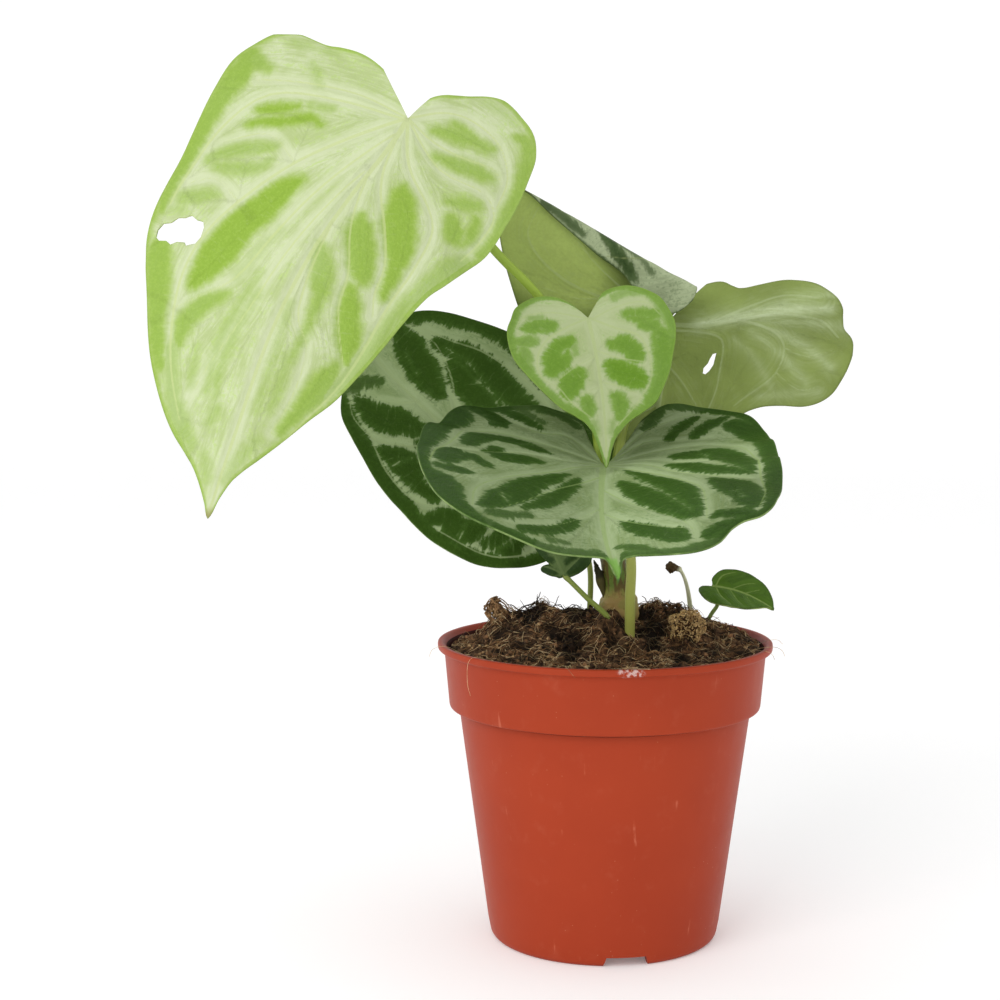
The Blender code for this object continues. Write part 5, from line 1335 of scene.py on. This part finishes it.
def build_pot(settings):
    """The nursery pot: turned wall, foot with gaps, drainage holes; its inside has a finish of painted
    shade.
    """
    lip_bottom = POT_HEIGHT - LIP_HEIGHT
    outside = (
        (0.0, FOOT_HEIGHT), (FOOT_RADIUS - FOOT_WIDTH - 0.5, FOOT_HEIGHT),
        (FOOT_RADIUS - FOOT_WIDTH, 0.0), (FOOT_RADIUS, 0.0), (FOOT_RADIUS + 1.2, 1.4),
        (BASE_RADIUS, FOOT_CORNER_Z), (BASE_RADIUS + 5.2, 45.0), (NECK_RADIUS, BAND_BOTTOM_Z - 0.3),
        (NECK_RADIUS + 0.4, BAND_BOTTOM_Z), (BAND_BOTTOM_RADIUS - 0.4, BAND_BOTTOM_Z + 0.1),
        (BAND_BOTTOM_RADIUS, BAND_BOTTOM_Z + 0.9), (BAND_TOP_RADIUS, lip_bottom - 0.3),
        (LIP_RADIUS - 0.1, lip_bottom), (LIP_RADIUS - 0.05, POT_HEIGHT - 0.05),
        (LIP_RADIUS - 2.0, POT_HEIGHT - 0.05), (BAND_TOP_RADIUS - WALL, POT_HEIGHT - 2.4),
        (inner_radius(BAND_BOTTOM_Z + WALL), BAND_BOTTOM_Z + WALL),
        (inner_radius(BAND_BOTTOM_Z - WALL), BAND_BOTTOM_Z - WALL),
        (inner_radius(FOOT_CORNER_Z), FOOT_CORNER_Z), (FOOT_RADIUS - WALL, FOOT_HEIGHT + FLOOR),
        (0.0, FOOT_HEIGHT + FLOOR))
    bm = turned(rounded(outside), settings.sides)
    for face in bm.faces:
        middle = face.calc_center_median() / MM
        inward = math.hypot(middle.x, middle.y) < inner_radius(middle.z) + 0.5
        # Faces inside the pot take the finish with painted shade
        face.material_index = int(inward and middle.z > FOOT_HEIGHT + 1)
    blank = link("pot_blank", planted_mesh("pot_wall", bm, pot_plastic(settings), shaded_inner_plastic(settings)))
    bm = bmesh.new()
    for index in range(FOOT_GAPS):
        turn = Matrix.Rotation(FIRST_FOOT_GAP + index * math.tau / FOOT_GAPS, 4, "Z")
        for corner in bmesh.ops.create_cube(bm, size=1.0)["verts"]:
            wide, up = (GAP_TOP_WIDTH, FOOT_HEIGHT - 0.15) if corner.co.z > 0 else (GAP_BOTTOM_WIDTH, -2.0)
            corner.co = turn @ Vector((FOOT_RADIUS + corner.co.x * GAP_LENGTH, corner.co.y * wide, up)) * MM
    for index in range(DRAIN_HOLES):
        angle = math.tau * (index + 0.5) / DRAIN_HOLES
        place = Vector((DRAIN_CIRCLE * math.cos(angle), DRAIN_CIRCLE * math.sin(angle), FOOT_HEIGHT)) * MM
        bmesh.ops.create_cone(
            bm, cap_ends=True, segments=32, radius1=DRAIN_RADIUS * MM, radius2=DRAIN_RADIUS * MM,
            depth=4 * FLOOR * MM, matrix=Matrix.Translation(place))
    bmesh.ops.recalc_face_normals(bm, faces=bm.faces)
    tool = link("pot_tool", planted_mesh("pot_tool", bm))
    cut = blank.modifiers.new("cut", "BOOLEAN")
    cut.object, cut.solver = tool, "EXACT"
    shell = smoothed(evaluated_mesh("pot_shell", blank))
    shell.set_sharp_from_angle(angle=SHARP_EDGE)
    bpy.data.objects.remove(tool)
    return show("pot_shell", shell, "pot", "pot")


def painted_hollow_shade(finish):
    """Where the peat is in shade: small hollows everywhere, and a few wide ones."""
    ragged = finish.noise(8, 3, 0.6)
    dark = finish.step(ragged, 0.50, 0.38) * 0.88
    flat = finish.stretched(1.0, HOLLOW_STRETCH, 0.0)
    for x, y, wide in SHADED_HOLLOWS:
        middle = ((x + PLANT_SHIFT[0]) * MM, (y + PLANT_SHIFT[1]) * HOLLOW_STRETCH * MM, 0.0)
        away = finish.distance(flat, middle) + (ragged - 0.5) * 14.0
        dark = finish.most(dark, finish.step(away, wide, wide * 0.5))
    return dark


def peat_finish():
    """Dark peat mixed with short brown coir."""
    finish = Finish("peat", 0.1)
    grain, fine, broad = finish.noise(2.2, 4, 0.65), finish.noise(0.5, 3, 0.7), finish.noise(11, 3, 0.6)
    colour = finish.blend(finish.step(grain, 0.35, 0.7), srgb(44, 33, 25), srgb(124, 94, 68))
    colour = finish.blend(finish.step(fine, 0.55, 0.75) * 0.6, colour, srgb(176, 140, 102))
    colour = finish.blend(finish.step(broad, 0.55, 0.75) * 0.4, colour, srgb(146, 112, 80))
    # Painted shade where the peat has hollows
    colour = finish.blend(painted_hollow_shade(finish) * 0.97, colour, srgb(*SHADOW))
    rough = finish.bump(fine + grain * 2.0, 0.7)
    return finish.done(Base_Color=colour, Roughness=0.85 + (fine - 0.5) * 0.1, Normal=rough)


def loose_finish(name):
    """Crumbs, coir and bark: two shades, a few light grains, and painted shade where the peat has hollows.
    """
    low, high, shaded = SHADES[name]
    finish = Finish(name, 0.12)
    grain, fine = finish.noise(1.8, 3, 0.6), finish.noise(0.35, 3, 0.7)
    colour = finish.blend(finish.step(grain, 0.3, 0.7), srgb(*low), srgb(*high))
    colour = finish.blend(finish.step(fine, 0.6, 0.8) * 0.4, colour, srgb(206, 176, 134))
    # Painted shade where the peat has hollows
    colour = finish.blend(painted_hollow_shade(finish) * shaded, colour, srgb(*SHADOW))
    return finish.done(
        Base_Color=colour, Roughness=0.82 + (fine - 0.5) * 0.1, Normal=finish.bump(fine, 0.25))


def build_peat():
    """The soil as one closed solid whose top is broken up into peat."""
    edge = inner_radius(SOIL_EDGE_Z - 3.0) - SOIL_GAP
    bottom = FOOT_HEIGHT + FLOOR + 0.3
    wall = ((0.0, bottom), (FOOT_RADIUS - WALL - 1.0, bottom)) + tuple(
        (inner_radius(z) - SOIL_GAP, z + up) for z, up in (
            (FOOT_CORNER_Z, 0.6), (BAND_BOTTOM_Z - WALL, 0.3), (BAND_BOTTOM_Z + WALL, 0.6)))
    top = tuple((edge * (1 - ring / SOIL_RINGS), SOIL_EDGE_Z) for ring in range(SOIL_RINGS + 1))
    bm = turned(wall + top, SOIL_SIDES)
    for corner in bm.verts:
        if corner.co.z > (SOIL_EDGE_Z - 0.1) * MM:
            corner.co.z = soil_height(corner.co.x / MM, corner.co.y / MM) * MM
    show("peat", planted_mesh("peat", bm, peat_finish()), "soil", "soil")


def free_place(chance):
    """A random place on the peat, as (x, y), clear of the main stem."""
    while True:
        x, y = (chance.uniform(-STREWN_RADIUS, STREWN_RADIUS) for _ in range(2))
        from_stem = math.hypot(x - STEM[0][0], y - STEM[0][1])
        if math.hypot(x, y) < STREWN_RADIUS and from_stem > STEM[2][3] + 1.0:
            return x, y


def three(draw, *limits):
    """Three random draws, as a vector."""
    return Vector([draw(*limits) for _ in range(3)])


def build_crumbs(name, count, sizes, material, chance, heap=None):
    """Dented crumbs that sit in the peat's surface, or on a lumpy heap with a middle and a reach."""
    bm = bmesh.new()
    for index in range(count):
        size = chance.uniform(*sizes)
        if heap:
            out = three(chance.gauss, 0, 1).normalized()
            out *= 1 + 0.4 * noise.noise(out * 1.7 + Vector((4, 1, 7)))
            place = Vector(heap[0]) + out * Vector(heap[1])
        else:
            x, y = free_place(chance)
            place = Vector((x, y, soil_height(x, y) + size * 0.15))
        turn = Matrix.Rotation(chance.uniform(0, math.tau), 4, three(chance.uniform, -1, 1).normalized())
        wide, tall = size * chance.uniform(0.5, 0.9), size * chance.uniform(0.4, 0.8)
        stretch = Matrix.Diagonal((size * MM, wide * MM, tall * MM, 1))
        ball = bmesh.ops.create_icosphere(
            bm, subdivisions=1, radius=0.5, matrix=Matrix.Translation(place * MM) @ turn @ stretch)
        for corner in ball["verts"]:
            dent = noise.noise(corner.co / MM * 0.9 + Vector((index, 0, 0))) * 0.22 * size
            corner.co += Vector((dent, -dent, dent * 0.5)) * MM
    show(name, planted_mesh(name, bm, material), "soil")


def build_strands(name, strands, material):
    """Thin strands in the peat, each a list of (x, y, z, radius) rows, as one piece."""
    curve = bpy.data.curves.new(name, "CURVE")
    curve.dimensions = "3D"
    curve.bevel_depth = MM
    curve.bevel_resolution = 0
    curve.use_fill_caps = True
    for rows in strands:
        spline = curve.splines.new("POLY")
        spline.points.add(len(rows) - 1)
        for point, (x, y, z, radius) in zip(spline.points, rows):
            point.co = ((x + PLANT_SHIFT[0]) * MM, (y + PLANT_SHIFT[1]) * MM, z * MM, 1.0)
            point.radius = radius
    mesh = evaluated_mesh(name, link(name + "_curve", curve))
    mesh.materials.clear()
    mesh.materials.append(material)
    show(name, smoothed(mesh), "soil")


def lying_strand(chance, x, y, length, thick, curl=1.0, lift=1.2):
    """A fibre that lies on the peat and curls over it."""
    heading, bend = chance.uniform(0, math.tau), chance.gauss(0, 0.35 * curl)
    arch, rows = chance.uniform(0.1, lift), []
    for index in range(STRAND_STEPS):
        t = index / (STRAND_STEPS - 1)
        x += math.cos(heading) * length / STRAND_STEPS
        y += math.sin(heading) * length / STRAND_STEPS
        heading += bend + chance.gauss(0, 0.18 * curl)
        away = math.hypot(x, y)
        if away > SOIL_EDGE:
            x, y = x * SOIL_EDGE / away, y * SOIL_EDGE / away
        z = soil_height(x, y) + 0.15 + arch * math.sin(math.pi * t) ** 0.8
        rows.append((x, y, z, thick * (1.0 - 0.45 * t)))
    return rows


def twig(chance, x, y, length, heading, pitch, thick):
    """A stiff bit of bark or root that stands out of the peat."""
    heading, pitch, step = math.radians(heading), math.radians(pitch), length / STRAND_STEPS
    z, rows = soil_height(x, y) - 0.6, []
    for index in range(STRAND_STEPS):
        rows.append((x, y, z, thick * (1.0 - 0.6 * index / (STRAND_STEPS - 1))))
        x += math.cos(heading) * math.cos(pitch) * step
        y += math.sin(heading) * math.cos(pitch) * step
        z += math.sin(pitch) * step
        heading += chance.gauss(0, 0.32)
        pitch += chance.gauss(-0.10, 0.28)
    return rows


def stalk_finish(name, foot, middle, top, joint):
    """A leaf stalk: green, paler and smooth at its swollen joint under the blade."""
    finish = Finish(name, 0.22)
    along = finish.attribute("along")
    grain, fine = finish.noise(4, 3, 0.6), finish.noise(0.7, 3, 0.6)
    colour = finish.blend(finish.step(along + (grain - 0.5) * 0.2, 0.0, 0.45), srgb(*foot), srgb(*middle))
    colour = finish.blend(finish.step(along + (grain - 0.5) * 0.1, 0.45, 0.9), colour, srgb(*top))
    colour = finish.blend(finish.step(along, 0.90, 0.95) * 0.7, colour, srgb(*joint))
    specks = finish.step(fine, 0.60, 0.72) * 0.28
    colour = finish.blend(specks, colour, srgb(92, 84, 40))
    return finish.done(
        Base_Color=colour, Roughness=0.42 + (grain - 0.5) * 0.1, Normal=finish.bump(fine, 0.05))


def stem_finish():
    """The main stem: olive-green, tan at its swollen node, with brown scars."""
    finish = Finish("stem", 0.2)
    along = finish.attribute("along")
    grain, fine = finish.noise(3, 3, 0.6), finish.noise(0.8, 3, 0.65)
    at = along + (grain - 0.5) * 0.06
    ribs = finish.noise(1.3, 2, 0.5, finish.stretched(1.0, 1.0, 0.10))
    colour = finish.blend(finish.step(at, 0.50, 0.62), srgb(152, 142, 78), srgb(98, 120, 44))
    colour = finish.blend(finish.step(at, 0.10, 0.30), srgb(104, 98, 50), colour)
    colour = finish.blend(finish.step(fine, 0.56, 0.7) * 0.5, colour, srgb(150, 112, 66))
    colour = finish.blend(finish.step(finish.cells(1.6), 0.25, 0.1) * 0.5, colour, srgb(58, 46, 24))
    stripes = finish.step(ribs, 0.44, 0.56) * finish.step(at, 0.48, 0.58)
    colour = finish.blend(stripes * 0.8, colour, srgb(92, 66, 34))
    blush = finish.step(finish.noise(5, 2, 0.5), 0.45, 0.6) * finish.step(at, 0.66, 0.5)
    colour = finish.blend(blush * 0.42, colour, srgb(172, 124, 86))
    skin = finish.bump(fine * 0.6 + ribs * 0.8, 0.45)
    return finish.done(Base_Color=colour, Roughness=0.5 + (grain - 0.5) * 0.15, Normal=skin)


def dry_finish(name, low, high, turn_at):
    """Withered skin that changes colour at a share of its length."""
    finish = Finish(name, 0.12)
    grain, fine = finish.noise(1.6, 3, 0.6), finish.noise(0.5, 3, 0.6)
    share = finish.step(finish.attribute("along") + (grain - 0.5) * 0.12, turn_at - 0.06, turn_at + 0.06)
    colour = finish.blend(share, srgb(*low), srgb(*high))
    colour = finish.blend(finish.step(fine, 0.55, 0.75) * 0.3, colour, srgb(46, 32, 20))
    return finish.done(
        Base_Color=colour, Roughness=0.68 + (grain - 0.5) * 0.1, Normal=finish.bump(fine, 0.2))


def joint_shape(share, angle):
    """A stalk's girth: a swollen joint under the blade and a slightly spread foot."""
    swell = 0.22 * math.exp(-(((share - 0.955) / 0.022) ** 2))
    return 1.0 + swell + 0.12 * math.exp(-share / 0.03) + 0.02 * math.sin(2 * angle + 9 * share)


def stem_shape(share, angle):
    """The main stem's girth: scar rings and lumps where old leaves stood."""
    lumps = noise.noise(Vector((math.cos(angle) * 1.1, math.sin(angle) * 1.1, share * 9.0)))
    fine = noise.noise(Vector((math.cos(angle) * 3.0, math.sin(angle) * 3.0, share * 26.0)))
    return 1.0 + 0.10 * lumps + 0.035 * fine


def crumpled_shape(share, angle):
    """The girth of withered skin: round below, crumpled towards its end."""
    if share < 0.6:
        return 1.0
    return 1.0 + 0.25 * math.sin(3 * angle + 25 * share) + 0.12 * math.sin(5 * angle - 40 * share)


def build_stalk(name):
    """A leaf's stalk, from its foot to just inside the blade's joint."""
    stalk = STALKS[name]
    points = [*stalk["points"], tuple(seated_end(stalk, Blade(LEAVES[name.replace("stalk", "leaf")])))]
    radii = np.interp(np.linspace(0, 1, len(points)), (0, 1), stalk["radius"])
    rows = [(*point, radius) for point, radius in zip(points, radii)]
    finish = stalk_finish(name, *STALK_TONES.get(name, PLAIN_STALK))
    skin = tube_mesh(name + "_skin", rows, 24, 14 * len(points), finish, joint_shape)
    show(name + "_skin", skin, "stalk", name)


def build_stems():
    """The main stem, its dry sheath and the withered sprout."""
    sheath = dry_finish("sheath", (84, 78, 44), (52, 50, 34), 0.5)
    sprout = dry_finish("sprout", (222, 222, 186), (84, 66, 42), 0.66)
    for slot, node, *tube in (
            ("stem", "main_stem", STEM, 48, 110, stem_finish(), stem_shape),
            ("sheath", "dry_sheath", SHEATH, 16, 30, sheath, crumpled_shape),
            ("sprout", "withered_sprout", SPROUT, 20, 70, sprout, crumpled_shape)):
        show(slot + "_skin", tube_mesh(slot + "_skin", *tube), slot, node)


def build_fibres(settings, chance):
    """Coir in three shades over the peat, thicker in places, with some that hangs over the lip."""
    for name, part, thick in FIBRES:
        strands = []
        for _ in range(int(settings.fibres * part)):
            x, y = free_place(chance)
            strands.append(lying_strand(
                chance, x, y, chance.uniform(5, 17), thick * chance.uniform(0.6, 1.2)))
        for x, y, spread, more in PATCHES:
            for _ in range(int(more * part * 2)):
                strands.append(lying_strand(
                    chance, x + chance.gauss(0, spread), y + chance.gauss(0, spread * 0.6),
                    chance.uniform(4, 11), thick * chance.uniform(0.7, 1.3), 1.6, 3.0))
        if name == "fibres_pale":
            for rows in STRAYS:
                strands.append([(*point, STRAY_THICKNESS) for point in smooth_path(rows, 4 * len(rows))])
        build_strands(name, strands, loose_finish(name))


def build_twigs(chance):
    """Dark twigs, each with finer ones beside it, and a cut stub by the stem."""
    twigs = [twig(chance, *rows) for rows in TWIGS]
    for x, y, length, heading, pitch, thick in TWIGS:
        for _ in range(5):
            twigs.append(twig(
                chance, x + chance.gauss(0, 2.5), y + chance.gauss(0, 2), length * chance.uniform(0.3, 0.8),
                heading + chance.uniform(-140, 140), pitch * chance.uniform(0.3, 1.3), thick * 0.5))
    build_strands("twigs", twigs + [STUB], loose_finish("twig_bark"))


def build_old_root(chance):
    """The old root: a frayed bundle of strands along each of its branches."""
    frayed = []
    for rows in OLD_ROOT:
        for _ in range(int(22 * rows[1][3])):
            aside = three(chance.gauss, 0, 1) * 0.55
            way = [Vector(row[:3]) + row[3] * (aside + three(chance.gauss, 0, 0.4)) for row in rows]
            first = chance.randrange(len(way) - 2)
            thick = chance.uniform(0.10, 0.30)
            frayed.append([(*point, thick) for point in smooth_path(way[first:], 4 * len(way[first:]))])
    build_strands("old_root", frayed, loose_finish("old_root"))


class PotSettings(bpy.types.PropertyGroup):
    sides: bpy.props.IntProperty(
        name="Sides", description="Steps round the pot", default=176, min=24, max=400)
    roughness: bpy.props.FloatProperty(
        name="Roughness", description="How dull the plastic is", default=0.42, min=0, max=1,
        subtype="FACTOR")
    colour: bpy.props.FloatVectorProperty(
        name="Colour", description="The plastic's colour", size=4, subtype="COLOR", min=0, max=1,
        default=srgb(160, 60, 34))
    colour_low: bpy.props.FloatVectorProperty(
        name="Second colour", description="The colour of the plastic's broad flow marks", size=4,
        subtype="COLOR", min=0, max=1, default=srgb(153, 56, 32))
    # The inside's colour is the plastic's own, darkened as painted shade
    colour_inside_shaded: bpy.props.FloatVectorProperty(
        name="Inside colour", description="The colour of the pot's inside", size=4, subtype="COLOR", min=0,
        max=1, default=srgb(68, 27, 22))


class PeatSettings(bpy.types.PropertyGroup):
    seed: bpy.props.IntProperty(name="Seed", description="Chooses how crumbs and fibres lie", default=11)
    crumbs: bpy.props.IntProperty(
        name="Crumbs", description="How many crumbs lie on the peat", default=1300, min=0, max=3000)
    fibres: bpy.props.IntProperty(
        name="Fibres", description="How many fibres lie on the peat", default=1500, min=0, max=3000)


class LeafSettings(bpy.types.PropertyGroup):
    thickness: bpy.props.FloatProperty(
        name="Blade", description="The blade's thickness away from its midrib", default=0.0006, min=0.0002,
        max=0.002, precision=5, subtype="DISTANCE", unit="LENGTH")
    relief: bpy.props.FloatProperty(
        name="Relief", description="How deep the veins lie, against each leaf's own measure", default=1.0,
        min=0, max=3, subtype="FACTOR")


class StageSettings(bpy.types.PropertyGroup):
    floor: bpy.props.FloatVectorProperty(
        name="Floor", description="The floor's and backdrop's colour", size=4, subtype="COLOR", min=0,
        max=1, default=(0.93, 0.93, 0.93, 1.0))
    key: bpy.props.FloatProperty(
        name="Key light", description="Power of the large light at the front left", default=11.0, min=0,
        subtype="POWER", unit="POWER")
    fill: bpy.props.FloatProperty(
        name="Fill light", description="Power of the light at the front right", default=1.0, min=0,
        subtype="POWER", unit="POWER")
    sky: bpy.props.FloatProperty(
        name="Sky", description="Strength of the even white light from all round", default=0.86, min=0,
        max=5)
    glow: bpy.props.FloatProperty(
        name="Backdrop glow", description="Light that the white backdrop gives by itself", default=0.14,
        min=0, max=1)
    lens: bpy.props.FloatProperty(
        name="Lens", description="The camera's focal length in millimetres", default=69.7, min=20, max=200)


class ANTHURIUM_OT_pot(bpy.types.Operator):
    """Turns the nursery pot and cuts its foot and drainage holes"""

    bl_idname = "anthurium.pot"
    bl_label = "Nursery pot"

    def execute(self, context):
        if not build_pot(context.scene.anthurium_pot).data.polygons:
            raise RuntimeError("the pot came out empty")
        return {"FINISHED"}


class ANTHURIUM_OT_peat(bpy.types.Operator):
    """Fills the pot with peat and strews crumbs, coir and twigs over it"""

    bl_idname = "anthurium.peat"
    bl_label = "Peat, crumbs and fibres"

    def execute(self, context):
        settings = context.scene.anthurium_peat
        chance = random.Random(settings.seed)
        shades = {name: loose_finish(name) for name in ("crumbs_dark", "crumbs_tan", "clod_shade_core", "clod")}
        build_peat()
        for name, share, sizes in CRUMBS:
            build_crumbs(name, int(settings.crumbs * share), sizes, shades[name], chance)
        for name, shade, count, sizes, *heap in HEAPS:
            build_crumbs(name, count, sizes, shades[shade], chance, heap)
        build_fibres(settings, chance)
        build_twigs(chance)
        build_old_root(chance)
        return {"FINISHED"}


class ANTHURIUM_OT_stems(bpy.types.Operator):
    """Builds the main stem, its dry sheath and the withered sprout"""

    bl_idname = "anthurium.stems"
    bl_label = "Stem, sheath and sprout"

    def execute(self, context):
        build_stems()
        return {"FINISHED"}


class ANTHURIUM_OT_stalks(bpy.types.Operator):
    """Builds every leaf's stalk with its swollen joint"""

    bl_idname = "anthurium.stalks"
    bl_label = "Leaf stalks"

    def execute(self, context):
        for name in STALKS:
            build_stalk(name)
        return {"FINISHED"}


class ANTHURIUM_OT_leaves(bpy.types.Operator):
    """Builds the seven blades with their veins and islands"""

    bl_idname = "anthurium.leaves"
    bl_label = "Leaves"

    def execute(self, context):
        settings = context.scene.anthurium_leaf
        for name in LEAVES:
            build_blade(name, settings.thickness, settings.relief * LOOKS[name]["relief"])
        return {"FINISHED"}


class ANTHURIUM_OT_stage(bpy.types.Operator):
    """Sets up the pale floor, the soft lights and the camera"""

    bl_idname = "anthurium.stage"
    bl_label = "Floor, lights and camera"

    def execute(self, context):
        settings = context.scene.anthurium_stage
        build_stage(context.scene, settings)
        if context.scene.camera is None:
            raise RuntimeError("there is no camera")
        return {"FINISHED"}


def soft_light(name, place, aim, power):
    """A square soft light, turned to a point at a height over the middle."""
    data = bpy.data.lights.new(name, "AREA")
    data.shape, data.size, data.energy = "SQUARE", LIGHT_SIZE, power
    light = link(name, data)
    light.location = place
    light.rotation_euler = (Vector((0, 0, aim)) - Vector(place)).to_track_quat("-Z", "Y").to_euler()


def build_backdrop(settings):
    """A pale round floor that curves up into a wall."""
    profile = [(0.0, 0.0)]
    for step in range(COVE_STEPS + 1):
        turn = math.radians(90) * step / COVE_STEPS
        profile.append((FLOOR_RADIUS + COVE_RADIUS * math.sin(turn), COVE_RADIUS * (1 - math.cos(turn))))
    bm = turned(profile, FLOOR_SIDES)
    bmesh.ops.reverse_faces(bm, faces=bm.faces)
    pale = Finish("floor", 0.1).done(
        Base_Color=tuple(settings.floor), Roughness=0.9, Emission_Color=(1.0, 1.0, 1.0, 1.0),
        Emission_Strength=settings.glow)
    link("backdrop", finished_mesh("backdrop", bm, pale))


def build_stage(scene, settings):
    """The backdrop, an even white sky, two soft lights and the photo's camera."""
    build_backdrop(settings)
    world = bpy.data.worlds.new("studio")
    world.use_nodes = True
    sky = world.node_tree.nodes["Background"].inputs
    sky["Color"].default_value, sky["Strength"].default_value = (1.0, 1.0, 1.0, 1.0), settings.sky
    scene.world = world
    soft_light("key", KEY_PLACE, KEY_AIM, settings.key)
    soft_light("fill", FILL_PLACE, FILL_AIM, settings.fill)
    scene.view_settings.view_transform = "Standard"
    data = bpy.data.cameras.new("photo_camera")
    data.lens, data.sensor_width = settings.lens, SENSOR_WIDTH
    data.clip_start, data.clip_end = CAMERA_RANGE
    camera = link("photo_camera", data)
    camera.location, camera.rotation_euler = CAMERA_PLACE, (CAMERA_TILT, 0.0, 0.0)
    scene.camera = camera


class ANTHURIUM_PT_panel(bpy.types.Panel):
    """The plant's pieces and settings"""

    bl_idname = "ANTHURIUM_PT_panel"
    bl_label = "Potted Anthurium"
    bl_space_type = "VIEW_3D"
    bl_region_type = "UI"
    bl_category = "Anthurium"

    def draw(self, context):
        for key, _, operators in GROUPS:
            box = self.layout.box()
            for operator in operators:
                box.operator(operator.bl_idname)
            group = getattr(context.scene, key)
            for field in group.bl_rna.properties.keys():
                if field not in ("rna_type", "name"):
                    box.prop(group, field)


# Each group of settings: its name in the scene, its class, and the operators that use it
GROUPS = (
    ("anthurium_pot", PotSettings, (ANTHURIUM_OT_pot,)),
    ("anthurium_peat", PeatSettings, (ANTHURIUM_OT_peat,)),
    ("anthurium_leaf", LeafSettings, (ANTHURIUM_OT_stems, ANTHURIUM_OT_stalks, ANTHURIUM_OT_leaves)),
    ("anthurium_stage", StageSettings, (ANTHURIUM_OT_stage,)),
)


def register():
    for key, settings, operators in GROUPS:
        for kind in (settings, *operators):
            bpy.utils.register_class(kind)
        setattr(bpy.types.Scene, key, bpy.props.PointerProperty(type=settings))
    bpy.utils.register_class(ANTHURIUM_PT_panel)


def unregister():
    bpy.utils.unregister_class(ANTHURIUM_PT_panel)
    for key, settings, operators in reversed(GROUPS):
        delattr(bpy.types.Scene, key)
        for kind in (*operators, settings):
            bpy.utils.unregister_class(kind)


def main():
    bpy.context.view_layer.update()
    register()
    for call in (bpy.ops.anthurium.pot, bpy.ops.anthurium.peat, bpy.ops.anthurium.stems,
                 bpy.ops.anthurium.stalks, bpy.ops.anthurium.leaves, bpy.ops.anthurium.stage):
        call()


if __name__ == "__main__":
    main()
